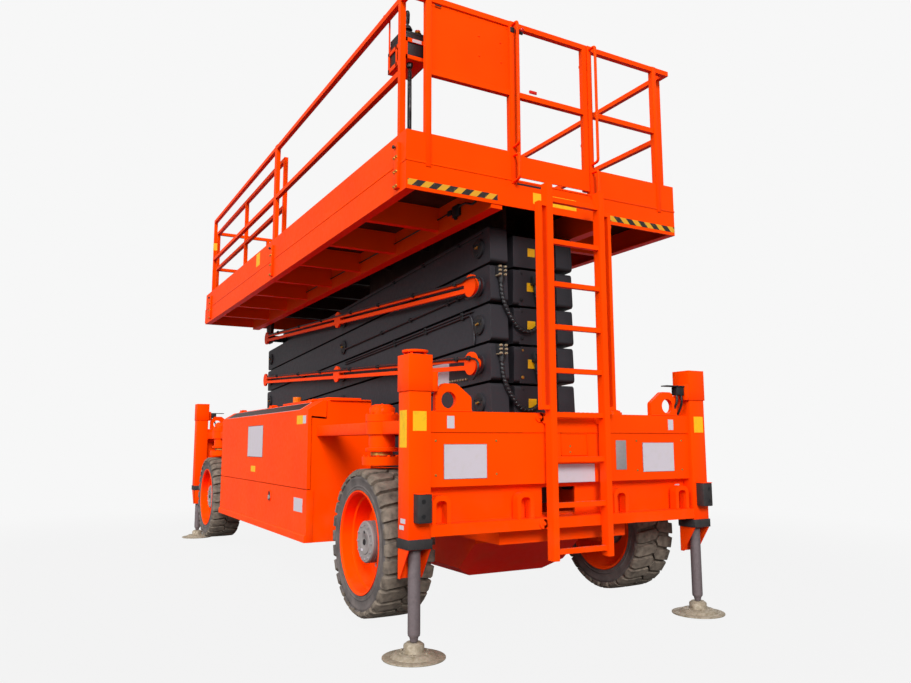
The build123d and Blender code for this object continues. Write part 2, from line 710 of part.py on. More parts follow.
# ---------------------------------------------------------------- hose carriers
bar_inner_x = -(lug_reach_x + carrier_gap)
bar_outer_x = bar_inner_x - carrier_bar
for name, level in (("hose_carrier_upper", level_count), ("hose_carrier_lower", level_count - 2)):
    with BuildPart() as hose_carrier:
        z0, z1 = pin_z(level - 1), pin_z(level)
        with BuildSketch(arm_plane(level - 1, level, bar_outer_x)) as bars:
            with Locations((arm_pins / 2, carrier_bar_offset), (arm_pins / 2, -carrier_bar_offset)):
                Rectangle(arm_pins, carrier_bar_height)
        extrude(bars.sketch, carrier_bar)
        far_seat = lug_reach_x if level == level_count else pin_end
        stations = [(near_pin_y, z0, pin_end), (stack_middle, (z0 + z1) / 2, pin_end), (far_pin_y, z1, far_seat)]
        for y, z, seat in stations:
            rod_x(y, z, bar_outer_x, bar_inner_x, carrier_plate)
            rod_x(y, z, bar_inner_x, -seat, shaft_diameter - 10)
    save(hose_carrier, name)

# ---------------------------------------------------------------- platform
half_deck = deck_width / 2
with BuildPart() as deck_frame:
    # perimeter channel
    block((-half_deck, half_deck), (deck_front_y, deck_back_y), (deck_bottom, channel_top))
    block((-half_deck + channel_wall, half_deck - channel_wall),
          (deck_front_y + channel_wall, deck_back_y - channel_wall),
          (deck_bottom - 1, channel_top - floor_thickness), mode=Mode.SUBTRACT)
    for sign in (-1, 1):
        beam_x = (sign * deck_beam_x, sign * (deck_beam_x + deck_beam_width))
        block(beam_x, (deck_front_y + channel_wall, deck_back_y - channel_wall),
              (deck_bottom - 30, channel_top - floor_thickness))
        block((sign * (half_deck - channel_flange), sign * (half_deck - channel_wall)),
              (deck_front_y + channel_wall, deck_back_y - channel_wall), (deck_bottom, deck_bottom + channel_wall))
        # slotted guide for the sliding pin of the top outer arm
        guide_x = (sign * guide_plate_x, sign * (guide_plate_x + guide_plate))
        block(guide_x, (near_pin_y - 90, near_pin_y + 2500), (pin_z(level_count) - 85, channel_top - floor_thickness))
        block(guide_x, (near_pin_y - shaft_diameter / 2 - 1, near_pin_y + 2430),
              (pin_z(level_count) - shaft_diameter / 2 - running_gap, pin_z(level_count) + shaft_diameter / 2 + running_gap),
              mode=Mode.SUBTRACT)
        # lug of the fixed pin at the far end
        lug_x = (sign * rail_inner, sign * (rail_inner + lug_plate))
        prism_x([(far_pin_y - 150, channel_top - floor_thickness), (far_pin_y + 150, channel_top - floor_thickness),
                 (far_pin_y + 80, pin_z(level_count) - 70), (far_pin_y - 80, pin_z(level_count) - 70)], *lug_x)
        rod_x(far_pin_y, pin_z(level_count), *lug_x, shaft_diameter + 2 * running_gap, mode=Mode.SUBTRACT)
    rib_count = 8
    rib_pitch = (deck_back - deck_front) / rib_count
    for rib in range(1, rib_count):
        rib_y = deck_front_y + rib * rib_pitch
        for sign in (-1, 1):
            block((sign * (deck_beam_x + deck_beam_width), sign * (half_deck - channel_wall)),
                  (rib_y - 30, rib_y + 30), (deck_bottom, channel_top - floor_thickness))
        block((-deck_beam_x, deck_beam_x), (rib_y - 30, rib_y + 30), (deck_bottom + 60, channel_top - floor_thickness))
save(deck_frame, "deck_frame")


def tube_post(x, y, z0, z1):
    """Square upright of the guard rails."""
    half = rail_tube / 2
    block((x - half, x + half), (y - half, y + half), (z0, z1))


def side_rails(x, y0, y1, heights, posts, foot):
    """Long rails on one side, at the given heights, on posts that stand on foot."""
    half = rail_tube / 2
    for z in heights:
        block((x - half, x + half), (y0, y1), (z - rail_tube, z))
    for y in posts:
        tube_post(x, y, foot, heights[0])


side_rail_x = half_deck - rail_tube / 2
face_y = deck_front_y + rail_tube / 2
post_foot = channel_top - 20.0
side_posts = [front + 290, front + 3300, front + 6290]
face_posts = [-1035.0, -355.0, 360.0, 1035.0]
panel_thickness = 6.0
gate_gap = 6.0
gate_x = (face_posts[1] + rail_tube / 2 + gate_gap, face_posts[2] - rail_tube / 2 - gate_gap)
gate_pivot = (gate_x[1] + gate_gap / 2, rail_tube + 11.0)    # x, and y behind the deck's front face
gate_hinge_z = (3480.0, 4120.0)
with BuildPart() as guard_rails:
    for sign in (-1, 1):
        x = sign * side_rail_x
        side_rails(x, side_posts[0] - rail_tube / 2, side_posts[-1] + rail_tube / 2,
                   (rail_height, mid_rail_z + rail_tube / 2), side_posts, channel_top)
        # wide middle post, pinned to the outside of the deck channel
        block((sign * half_deck, sign * (half_deck - rail_tube)), (side_posts[1] - 38, side_posts[1] + 38),
              (channel_top, rail_height + 8))
        block((sign * (half_deck - toe_plate), sign * half_deck), (deck_front_y, deck_back_y),
              (channel_top, toe_top))
        # face rails and toe boards between the face posts, either side of the gate
        outer_x, inner_x = sign * face_posts[3], sign * face_posts[2]
        for z in (rail_height, mid_rail_z + rail_tube / 2):
            block((outer_x, inner_x), (deck_front_y, deck_front_y + rail_tube), (z - rail_tube, z))
        for x in (outer_x, inner_x):
            tube_post(x, face_y, channel_top, rail_height)
        block((inner_x, sign * half_deck), (deck_front_y, deck_front_y + toe_plate), (channel_top, toe_top))
        block((outer_x, sign * side_rail_x), (deck_front_y, deck_front_y + rail_tube),
              (rail_height - rail_tube, rail_height))
        block((sign * side_rail_x - rail_tube / 2, sign * side_rail_x + rail_tube / 2),
              (deck_front_y, side_posts[0]), (rail_height - rail_tube, rail_height))
    # lower halves of the gate's hinges, each with its pin
    for z in gate_hinge_z:
        block((face_posts[2] - 19, face_posts[2]), (deck_front_y + 30, deck_front_y + gate_pivot[1] + 7), (z, z + 20))
        block((gate_pivot[0] - 3, face_posts[2] - 15), (deck_front_y + rail_tube + 1, deck_front_y + gate_pivot[1] + 7),
              (z, z + 20))
        rod_z(gate_pivot[0], deck_front_y + gate_pivot[1], z + 20, z + 38, 12)
    # blank panel that fills the upper bay beside the gate
    block((face_posts[0], face_posts[1]), (deck_front_y + 12, deck_front_y + 12 + panel_thickness),
          (mid_rail_z, rail_height - rail_tube))
save(guard_rails, "guard_rails")

with BuildPart() as gate:
    gate_y = (deck_front_y, deck_front_y + rail_tube)
    block(gate_x, gate_y, (rail_height - rail_tube, rail_height))
    block(gate_x, gate_y, (mid_rail_z - rail_tube / 2, mid_rail_z + rail_tube / 2))
    block((gate_x[0], gate_x[0] + rail_tube), gate_y, (channel_top + 25, rail_height))
    block((gate_x[1] - rail_tube, gate_x[1]), gate_y, (channel_top + 25, rail_height))
    block(gate_x, (deck_front_y, deck_front_y + toe_plate), (channel_top + 25, toe_top - 20))
    for z in gate_hinge_z:
        barrel_z = (z + 20 + running_gap, z + 40)
        block((gate_x[1] - 30, gate_x[1] - 4), (deck_front_y + 30, deck_front_y + gate_pivot[1] + 7), barrel_z)
        rod_z(gate_pivot[0], deck_front_y + gate_pivot[1], *barrel_z, 18)
        rod_z(gate_pivot[0], deck_front_y + gate_pivot[1], *barrel_z, 12 + 2 * running_gap, mode=Mode.SUBTRACT)
save(gate, "gate")

# ---------------------------------------------------------------- extension deck
ext_start = 3380.0
ext_half = 1085.0
ext_floor = 22.0
ext_skid = 18.0
ext_end = (deck_back + 5.0, deck_back + 40.0)
ext_rail_top = 4245.0
ext_mid_top = 3725.0
with BuildPart() as extension_deck:
    floor_bottom = channel_top + running_gap + ext_skid
    floor_top = floor_bottom + ext_floor
    ext_y = (front + ext_start, front + ext_end[0] + 12)
    block((-ext_half, ext_half), ext_y, (floor_bottom, floor_top))
    for x in (-ext_half + 30, 0, ext_half - 30):
        block((x - 25, x + 25), (ext_y[0], deck_back_y), (channel_top + running_gap, floor_bottom))
    block((-half_deck, half_deck), (front + ext_end[0], front + ext_end[1]), (deck_bottom + 20, channel_top))
    block((-ext_half, ext_half), (front + ext_end[0], front + ext_end[0] + 12), (channel_top, toe_top - 20))
    for sign in (-1, 1):
        block((sign * (ext_half - 8), sign * ext_half), ext_y, (floor_bottom, toe_top - 30))
        x = sign * (ext_half - rail_tube / 2)
        posts = [ext_y[0] + 20, (ext_y[0] + ext_y[1]) / 2, ext_y[1] - 20]
        side_rails(x, ext_y[0], ext_y[1], (ext_rail_top, ext_mid_top), posts, floor_bottom)
    for z in (ext_rail_top, ext_mid_top):
        block((-ext_half, ext_half), (ext_y[1] - rail_tube, ext_y[1]), (z - rail_tube, z))
    for x in (-ext_half / 3, ext_half / 3):
        tube_post(x, ext_y[1] - rail_tube / 2, floor_bottom, ext_rail_top)
save(extension_deck, "extension_deck")

# ---------------------------------------------------------------- controls
basket_x = (-1155.0, -975.0)
basket_y = (front + 300.0, front + 580.0)
basket_z = (3880.0, 4040.0)
basket_wall = 8.0
with BuildPart() as control_basket:
    block(basket_x, basket_y, basket_z)
    block((basket_x[0] + basket_wall, basket_x[1] - basket_wall),
          (basket_y[0] + basket_wall, basket_y[1] - basket_wall), (basket_z[0] + basket_wall, basket_z[1] + 1),
          mode=Mode.SUBTRACT)
    for y in (basket_y[0] + 10, basket_y[1] - 30):
        block((basket_x[0], basket_x[0] + 6), (y, y + 20), (basket_z[1], rail_height + 6))
        block((-half_deck, basket_x[0] + 6), (y, y + 20), (rail_height, rail_height + 6))
save(control_basket, "control_basket")

with BuildPart() as control_box:
    block((basket_x[0] + basket_wall, basket_x[1] - basket_wall),
          (basket_y[0] + basket_wall, basket_y[1] - basket_wall), (basket_z[0] + basket_wall, 4130))
    rod_z(-1105, front + 360, 4130, 4160, 70)
    rod_z(-1105, front + 360, 4160, 4275, 34)
save(control_box, "control_box")

cord_x, cord_y = -1090.0, front + 352.0
cord_diameter = 32.0
with BuildPart() as cord_sockets:
    rod_z(cord_x, cord_y, channel_top, channel_top + 50, 50)
    rod_z(cord_x, cord_y, basket_z[0] - 30, basket_z[0], 44)
save(cord_sockets, "cord_sockets")

with BuildPart() as curly_cord:
    rod_z(cord_x, cord_y, channel_top + 50, basket_z[0] - 30, cord_diameter)
save(curly_cord, "curly_cord")
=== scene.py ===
"""Finishes, fittings and studio for a large rough-terrain scissor lift.

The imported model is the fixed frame: metres, +Z up, X across the machine and
Y along it, with the ladder end facing -Y. Everything here is placed from it.
Points are in metres; radii, bevels, profiles and depths are in millimetres.
"""
from __future__ import annotations

import json
import logging
import math
from dataclasses import dataclass
from enum import Enum
from functools import lru_cache
from typing import Iterable, Sequence

import bmesh
import bpy
from mathutils import Matrix, Vector

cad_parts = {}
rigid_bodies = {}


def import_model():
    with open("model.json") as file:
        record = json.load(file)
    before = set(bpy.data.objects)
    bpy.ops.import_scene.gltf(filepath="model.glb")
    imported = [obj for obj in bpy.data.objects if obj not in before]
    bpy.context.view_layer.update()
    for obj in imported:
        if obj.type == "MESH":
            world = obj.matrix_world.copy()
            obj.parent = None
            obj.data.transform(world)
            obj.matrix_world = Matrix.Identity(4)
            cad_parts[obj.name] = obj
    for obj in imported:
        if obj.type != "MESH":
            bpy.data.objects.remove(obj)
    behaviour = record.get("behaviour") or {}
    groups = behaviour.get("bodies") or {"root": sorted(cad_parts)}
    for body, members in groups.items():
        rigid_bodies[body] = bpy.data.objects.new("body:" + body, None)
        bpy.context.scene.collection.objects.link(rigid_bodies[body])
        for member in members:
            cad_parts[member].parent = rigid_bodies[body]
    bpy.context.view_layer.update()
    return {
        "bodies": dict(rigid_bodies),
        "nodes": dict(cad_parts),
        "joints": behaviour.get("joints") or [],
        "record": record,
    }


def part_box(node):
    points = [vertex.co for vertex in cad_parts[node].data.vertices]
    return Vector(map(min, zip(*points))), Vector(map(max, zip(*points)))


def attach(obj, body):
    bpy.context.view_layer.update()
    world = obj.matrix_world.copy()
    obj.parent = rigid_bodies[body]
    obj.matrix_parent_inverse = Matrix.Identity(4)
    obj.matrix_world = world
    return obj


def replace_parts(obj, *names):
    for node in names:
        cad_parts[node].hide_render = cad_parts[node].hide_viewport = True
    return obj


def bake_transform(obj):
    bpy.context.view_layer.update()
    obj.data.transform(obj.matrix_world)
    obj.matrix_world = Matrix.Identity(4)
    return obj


log = logging.getLogger("scissor_lift")

MM = 0.001
BODY_LENGTH = 6830.0
# edges flatter than this are shaded smooth, and a piece's soft edges leave them alone
SMOOTH_BELOW = math.radians(40.0)
Point = Sequence[float]


@lru_cache(maxsize=1)
def front() -> float:
    """Y of the near columns' front face in millimetres; their caps stand 7 mm ahead of it."""
    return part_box("leg_columns")[0].y / MM + 7.0


def at(x: float, s: float, z: float) -> Vector:
    """Point from millimetres across, behind the near columns' front face, and above the floor."""
    return Vector((x, front() + s, z)) * MM


# ---------------------------------------------------------------- shader helpers
def linear(hex_colour: str) -> tuple[float, float, float, float]:
    """Turn an sRGB hex colour into the linear RGBA that shaders take.

    Args:
        hex_colour: colour such as "#FF4A00".
    Returns:
        Linear red, green and blue, with an alpha of 1.
    """
    channels = [int(hex_colour[i:i + 2], 16) / 255 for i in (1, 3, 5)]
    red, green, blue = (c / 12.92 if c <= 0.04045 else ((c + 0.055) / 1.055) ** 2.4 for c in channels)
    return red, green, blue, 1.0


def add_node(tree: bpy.types.NodeTree, kind: str, settings: dict | None = None,
             links: dict | None = None) -> bpy.types.Node:
    """Add one shader node with its settings and links.

    Args:
        tree: node tree that takes the node.
        kind: node type without its ShaderNode prefix.
        settings: values by input socket, name or number, or by property name.
        links: output sockets by the input socket that each one feeds.
    Returns:
        The new node.
    """
    node = tree.nodes.new("ShaderNode" + kind)
    for name, value in (settings or {}).items():
        if not isinstance(name, int) and hasattr(node, name):
            setattr(node, name, value)
        else:
            node.inputs[name].default_value = value
    for name, source in (links or {}).items():
        tree.links.new(source, node.inputs[name])
    return node


class Pattern:
    """Masks and mixes that several finishes share, on one node tree."""

    def __init__(self, tree: bpy.types.NodeTree) -> None:
        """Start on a tree, with the coordinates of the piece itself."""
        self.tree = tree
        self.place = add_node(tree, "TexCoord").outputs["Object"]

    def noise(self, grain_mm: float, detail: float = 3.0, stretch: Point = (1, 1, 1)) -> bpy.types.NodeSocket:
        """Cloudy noise whose blotches are grain_mm across.

        Args:
            grain_mm: size of a blotch in millimetres.
            detail: number of finer octaves.
            stretch: scale of each axis, below 1 for streaks along it.
        Returns:
            A value from 0 to 1.
        """
        scaled = add_node(self.tree, "Mapping", {"Scale": tuple(stretch)}, {"Vector": self.place})
        return add_node(self.tree, "TexNoise", {"Scale": 1 / (grain_mm * MM), "Detail": detail},
                        {"Vector": scaled.outputs["Vector"]}).outputs["Fac"]

    def ramp(self, value: bpy.types.NodeSocket, low: float, high: float) -> bpy.types.NodeSocket:
        """Stretch a value so that low becomes 0 and high becomes 1."""
        node = add_node(self.tree, "MapRange", {"From Min": low, "From Max": high}, {"Value": value})
        return node.outputs["Result"]

    def times(self, first: bpy.types.NodeSocket, second: bpy.types.NodeSocket | float,
              operation: str = "MULTIPLY") -> bpy.types.NodeSocket:
        """Combine two values, multiplied unless another operation is named."""
        node = add_node(self.tree, "Math", {"operation": operation}, {0: first})
        if isinstance(second, (int, float)):
            node.inputs[1].default_value = second
        else:
            self.tree.links.new(second, node.inputs[1])
        return node.outputs["Value"]

    def blend(self, factor: bpy.types.NodeSocket, first: str | bpy.types.NodeSocket,
              second: str | bpy.types.NodeSocket) -> bpy.types.NodeSocket:
        """Mix two colours, each a hex colour or a socket, by a factor."""
        node = add_node(self.tree, "Mix", {"data_type": "RGBA"}, {0: factor})
        for socket, colour in ((node.inputs[6], first), (node.inputs[7], second)):
            if isinstance(colour, str):
                socket.default_value = linear(colour)
            else:
                self.tree.links.new(colour, socket)
        return node.outputs[2]

    def facing_up(self) -> bpy.types.NodeSocket:
        """1 on surfaces that face up, where dust settles, and 0 on the others."""
        normal = add_node(self.tree, "NewGeometry").outputs["Normal"]
        height = add_node(self.tree, "SeparateXYZ", links={0: normal}).outputs["Z"]
        return self.ramp(height, 0.55, 0.95)

    def facing_down(self) -> bpy.types.NodeSocket:
        """1 on surfaces that face down, and 0 on upright ones and those that face up."""
        normal = add_node(self.tree, "NewGeometry").outputs["Normal"]
        height = add_node(self.tree, "SeparateXYZ", links={0: normal}).outputs["Z"]
        return self.ramp(height, -0.05, -0.6)

    def low_down(self, none_above: float, full_below: float) -> bpy.types.NodeSocket:
        """Share of road dirt, growing towards the ground between two heights in metres."""
        height = add_node(self.tree, "SeparateXYZ", links={0: self.place}).outputs["Z"]
        return self.ramp(height, none_above, full_below)

    def soft_edges(self, radius_mm: float) -> bpy.types.NodeSocket:
        """Normal that rounds every sharp edge by a small radius."""
        return add_node(self.tree, "Bevel", {"samples": 3, "Radius": radius_mm * MM}).outputs["Normal"]

    def bump(self, height: bpy.types.NodeSocket, depth_mm: float,
             normal: bpy.types.NodeSocket | None = None) -> bpy.types.NodeSocket:
        """Normal of a relief depth_mm deep, on top of another normal if given."""
        node = add_node(self.tree, "Bump", {"Strength": 1.0, "Distance": depth_mm * MM}, {"Height": height})
        if normal is not None:
            self.tree.links.new(normal, node.inputs["Normal"])
        return node.outputs["Normal"]


@dataclass(frozen=True)
class Finish:
    """A surface finish: its material's common name, colour and gloss."""

    name: str
    colour: str
    roughness: float
    metallic: float = 0.0
    ior: float = 1.5

    def material(self) -> bpy.types.Material:
        """Return the finish's Blender material, made on first use."""
        found = bpy.data.materials.get(self.name)
        if found:
            return found
        made = bpy.data.materials.new(self.name)
        made.use_nodes = True
        shader = made.node_tree.nodes["Principled BSDF"]
        shader.inputs["Base Color"].default_value = linear(self.colour)
        shader.inputs["Roughness"].default_value = self.roughness
        shader.inputs["Metallic"].default_value = self.metallic
        if not self.metallic:
            shader.inputs["IOR"].default_value = self.ior
        self.dress(made.node_tree, shader, Pattern(made.node_tree))
        return made

    def dress(self, tree: bpy.types.NodeTree, shader: bpy.types.Node, pattern: Pattern) -> None:
        """Link the finish's own pattern to the shader.

        Args:
            tree: the material's node tree.
            shader: its Principled BSDF.
            pattern: shared masks on that tree.
        """
        tree.links.new(pattern.soft_edges(2.0), shader.inputs["Normal"])


@dataclass(frozen=True)
class SprayedEnamel(Finish):
    """Two-pack enamel sprayed on welded steel: glossy, with orange peel and site dust."""

    ior: float = 1.3
    dust: str = "#B06A44"
    dust_share: float = 0.16
    shade: str = "#F03000"
    # painted shade: under is the redder, darker colour given to faces that look down
    under: str = "#FF1C00"
    sheen: str = "#FF5000"
    chips: float = 0.0
    chip_colour: str = "#8C8078"
    edge_mm: float = 4.0
    coat: float = 0.02

    def dress(self, tree: bpy.types.NodeTree, shader: bpy.types.Node, pattern: Pattern) -> None:
        """Vary the colour over panels, paint shade on what faces down, dust what faces up and chip what is
        trodden.
        """
        # sprayed film thickness drifts over half a metre, so panels are never one flat colour
        drift = pattern.ramp(pattern.noise(600, 2), 0.35, 0.75)
        colour = pattern.blend(pattern.times(drift, 0.35), self.colour, self.shade)
        # painted shade: faces that look down take the redder, darker under colour
        colour = pattern.blend(pattern.facing_down(), colour, self.under)
        settled = pattern.times(pattern.facing_up(), pattern.ramp(pattern.noise(90, 5), 0.35, 0.7))
        splash = pattern.times(pattern.low_down(1.1, 0.35), pattern.ramp(pattern.noise(140, 6), 0.45, 0.75))
        dirt = pattern.times(pattern.times(settled, splash, "MAXIMUM"), self.dust_share)
        colour = pattern.blend(dirt, colour, self.dust)
        if self.chips:
            # boots break the film in patches 8 to 20 mm wide, on top of the rungs alone
            patches = pattern.ramp(pattern.noise(16, 6), 0.50, 0.56)
            trodden = pattern.times(patches, pattern.facing_up())
            colour = pattern.blend(pattern.times(trodden, self.chips), colour, self.chip_colour)
        tree.links.new(colour, shader.inputs["Base Color"])
        gloss = add_node(tree, "MapRange", {"To Min": self.roughness, "To Max": self.roughness + 0.25},
                         {"Value": pattern.times(dirt, pattern.noise(35, 4), "ADD")})
        tree.links.new(gloss.outputs["Result"], shader.inputs["Roughness"])
        # real orange peel is about 3 mm; drawn at 14 mm, the finest that shows at this size
        peel = pattern.bump(pattern.noise(14, 1), 0.25, pattern.soft_edges(self.edge_mm))
        tree.links.new(peel, shader.inputs["Normal"])
        shader.inputs["Specular Tint"].default_value = linear(self.sheen)
        shader.inputs["Coat Weight"].default_value = self.coat
        shader.inputs["Coat Roughness"].default_value = 0.15


@dataclass(frozen=True)
class CuredRubber(Finish):
    """Vulcanised rubber from a mould: matt black under dried mud and dust."""

    mud: str = "#85766A"
    mud_share: float = 0.8
    grain_mm: float = 45.0

    def dress(self, tree: bpy.types.NodeTree, shader: bpy.types.Node, pattern: Pattern) -> None:
        """Cover the rubber in uneven dried mud, thinner where the ground rubs it off."""
        cover = pattern.ramp(pattern.noise(self.grain_mm, 6), 0.25, 0.62)
        colour = pattern.blend(pattern.times(cover, self.mud_share), self.colour, self.mud)
        tree.links.new(colour, shader.inputs["Base Color"])
        # moulded skin grain, about 1 mm, drawn at 6 mm
        rough = pattern.bump(pattern.noise(6, 4), 0.8, pattern.soft_edges(3.0))
        tree.links.new(rough, shader.inputs["Normal"])


@dataclass(frozen=True)
class MachinedMetal(Finish):
    """Turned, ground or plated steel: metal with fine tool lines and handling marks."""

    stain: str = "#6E6258"
    stain_share: float = 0.3
    grain_mm: float = 30.0

    def dress(self, tree: bpy.types.NodeTree, shader: bpy.types.Node, pattern: Pattern) -> None:
        """Stain the metal in patches and let the stains dull its reflection."""
        patches = pattern.ramp(pattern.noise(self.grain_mm, 6), 0.4, 0.75)
        mask = pattern.times(patches, self.stain_share)
        tree.links.new(pattern.blend(mask, self.colour, self.stain), shader.inputs["Base Color"])
        gloss = add_node(tree, "MapRange", {"To Min": self.roughness, "To Max": self.roughness + 0.3},
                         {"Value": patches})
        tree.links.new(gloss.outputs["Result"], shader.inputs["Roughness"])
        # turning lines are a tenth of a millimetre apart; drawn at 3 mm
        lines = pattern.noise(3, 2, (0.05, 0.05, 1))
        tree.links.new(pattern.bump(lines, 0.06, pattern.soft_edges(1.5)), shader.inputs["Normal"])


@dataclass(frozen=True)
class MouldedPlastic(Finish):
    """Injection-moulded plastic: fine spark-eroded grain and soft edges."""

    grain_mm: float = 3.0

    def dress(self, tree: bpy.types.NodeTree, shader: bpy.types.Node, pattern: Pattern) -> None:
        """Give the skin its leather-like mould grain."""
        grain = pattern.bump(pattern.noise(self.grain_mm, 3), 0.15, pattern.soft_edges(2.0))
        tree.links.new(grain, shader.inputs["Normal"])


@dataclass(frozen=True)
class PrintedFilm(Finish):
    """Vinyl film or enamelled plate, left blank: smooth, slightly soiled."""

    soil: str = "#B7AFA6"

    def dress(self, tree: bpy.types.NodeTree, shader: bpy.types.Node, pattern: Pattern) -> None:
        """Soil the blank face lightly."""
        soiled = pattern.times(pattern.ramp(pattern.noise(40, 5), 0.5, 0.8), 0.35)
        tree.links.new(pattern.blend(soiled, self.colour, self.soil), shader.inputs["Base Color"])


@dataclass(frozen=True)
class HazardTape(Finish):
    """Reflective tape in slanted bands of yellow and black."""

    dark: str = "#221C18"
    band_mm: float = 62.0

    def dress(self, tree: bpy.types.NodeTree, shader: bpy.types.Node, pattern: Pattern) -> None:
        """Slant the bands at 45 degrees, mirrored about the machine's middle, scuffed in places."""
        parts = add_node(tree, "SeparateXYZ", links={0: pattern.place})
        across = pattern.times(parts.outputs["X"], 0.0, "ABSOLUTE")
        slant = pattern.times(across, parts.outputs["Z"], "ADD")
        phase = pattern.times(slant, 1 / (2 * self.band_mm * MM))
        band = pattern.times(pattern.times(phase, 0.0, "FRACT"), 0.5, "GREATER_THAN")
        colour = pattern.blend(band, self.colour, self.dark)
        scuffed = pattern.times(pattern.ramp(pattern.noise(25, 6), 0.55, 0.8), 0.4)
        tree.links.new(pattern.blend(scuffed, colour, "#9A7A5A"), shader.inputs["Base Color"])


@dataclass(frozen=True)
class DeckEnamel(SprayedEnamel):
    """Enamel of a deck, with painted shade on its floor plate, above and below, and on the bay over the arms.
    """

    # painted shade: the first two colours are the dark shade painted on the floor plate and the bay over the
    # arms, and lighter patches in it
    plate: str = "#2A1C18"
    plate_shade_patches: str = "#4C3A32"
    plate_z: tuple[float, float] = (3.0885, 3.111)
    plate_half: float = 1.191
    plate_front: float = -3.2355
    bay_half: float = 0.4495
    bay_top: float = 3.09
    bay_back: float = 3.2265

    def dress(self, tree: bpy.types.NodeTree, shader: bpy.types.Node, pattern: Pattern) -> None:
        """Paint the frame as other enamel, with painted shade on the floor plate between its edges and on the
        bay.
        """
        super().dress(tree, shader, pattern)
        painted = shader.inputs["Base Color"].links[0].from_socket
        parts = add_node(tree, "SeparateXYZ", links={0: pattern.place})
        across = pattern.times(parts.outputs["X"], 0.0, "ABSOLUTE")
        behind = pattern.times(parts.outputs["Y"], self.plate_front, "GREATER_THAN")
        inside = pattern.times(pattern.times(across, self.plate_half, "LESS_THAN"), behind)
        layer = pattern.times(pattern.times(parts.outputs["Z"], self.plate_z[0], "GREATER_THAN"),
                              pattern.times(parts.outputs["Z"], self.plate_z[1], "LESS_THAN"))
        # lighter patches in the painted shade
        patches = pattern.times(pattern.ramp(pattern.noise(120, 5), 0.4, 0.7), 0.4)
        shade_colour = pattern.blend(patches, self.plate, self.plate_shade_patches)
        # painted shade on the bay over the arms as well, from below the plate down
        bay = pattern.times(pattern.times(across, self.bay_half, "LESS_THAN"),
                            pattern.times(parts.outputs["Z"], self.bay_top, "LESS_THAN"))
        bay = pattern.times(pattern.times(bay, behind),
                            pattern.times(parts.outputs["Y"], self.bay_back, "LESS_THAN"))
        # painted shade where the floor plate's layer lies inside its edges, and on the bay
        dark = pattern.times(pattern.times(inside, layer), bay, "MAXIMUM")
        tree.links.new(pattern.blend(dark, painted, shade_colour), shader.inputs["Base Color"])


# Orange two-pack polyurethane enamel, sprayed: strong colour with a clear soft gloss.
ORANGE = SprayedEnamel("polyurethane_enamel_orange", "#FF4800", 0.38)
# The same enamel on the ladder: boots chip the tops of its rungs down to grey primer.
TRODDEN = SprayedEnamel("polyurethane_enamel_orange_worn", "#FF4800", 0.4, chips=0.8)
# Slate epoxy enamel, sprayed thick on the arms: dark, satin, with broad soft highlights; under is painted shade
# on faces that look down.
SLATE = SprayedEnamel("epoxy_enamel_slate", "#2C2A2F", 0.42, ior=1.4, dust="#4C4644", dust_share=0.4,
                      shade="#201E23", under="#1A181B", sheen="#FFFFFF", coat=0.05)
# Natural rubber tread, moulded: black rubber that reads tan-brown under dried mud.
TREAD = CuredRubber("natural_rubber_tread", "#463D36", 0.9, mud="#7C7063", mud_share=0.9)
# Rubber sidewall, moulded: the same compound, greyer, with less mud on it.
SIDEWALL = CuredRubber("natural_rubber_sidewall", "#403B3A", 0.82, mud="#6C6360", mud_share=0.75,
                       grain_mm=90)
# Nitrile rubber buffers and collars, moulded: near black and matt.
NITRILE = CuredRubber("nitrile_rubber", "#1B191B", 0.7, mud="#3A3432", mud_share=0.4)
# Ground steel rods, dulled by oil and dust to an even grey.
RAM_STEEL = MachinedMetal("ground_steel", "#726769", 0.5, 0.35, stain="#5A5052", stain_share=0.5)
# The orange enamel on the platform's frame, with painted shade on its floor plate and the bay over the arms.
DECK = DeckEnamel("polyurethane_enamel_deck", "#FF4800", 0.38)
# The same on the extension deck, whose floor is narrower and lies on the first; painted shade on its floor
# plate too.
EXTENSION = DeckEnamel("polyurethane_enamel_extension", "#FF4800", 0.38, plate_z=(3.1275, 3.151),
                       plate_half=1.0765, bay_half=0.0)
# Yellow-passivated zinc on pressed steel: pale brass tint, mottled.
ZINC = MachinedMetal("yellow_zinc_steel", "#B8A88C", 0.45, 0.6, stain="#8A7657", stain_share=0.6)
# The same plating on the feet, dried mud on it: dull, pale and mottled.
FOOT = MachinedMetal("yellow_zinc_foot", "#A89C8A", 0.55, 0.3, stain="#75664F", stain_share=0.8, grain_mm=26)
# Brass grease elbows, bolts and screws, machined: warm yellow, a little dulled.
BRASS = MachinedMetal("machined_brass", "#C79A4A", 0.35, 0.9, stain="#7D5C2E", stain_share=0.4)
# Cast iron in thin grey primer, as cast: even grey with little shine; under is painted shade on faces that look
# down.
IRON = SprayedEnamel("primed_cast_iron", "#8F8987", 0.5, dust="#7C7068", shade="#807978", under="#5E5856",
                     sheen="#FFFFFF", coat=0.0, edge_mm=3.0)
# Mild steel in black oxide: dark, with a faint metal sheen.
BLACK_STEEL = MachinedMetal("black_oxide_steel", "#232225", 0.5, 0.4, stain="#3A3532")
# ABS, injection moulded, black: dense colour with soft broad highlights.
ABS_BLACK = MouldedPlastic("abs_black", "#161517", 0.45)
# ABS, injection moulded, signal red: the stop button and the latch's knob.
ABS_RED = MouldedPlastic("abs_red", "#D01408", 0.3)
# Polyurethane cable jacket, extruded: black with a slight sheen.
JACKET = MouldedPlastic("polyurethane_jacket", "#141315", 0.38)
# Polyethylene spiral wrap over hydraulic hose: black, waxy.
HOSE = MouldedPlastic("polyethylene_hose_guard", "#1C1B1E", 0.42, grain_mm=6)
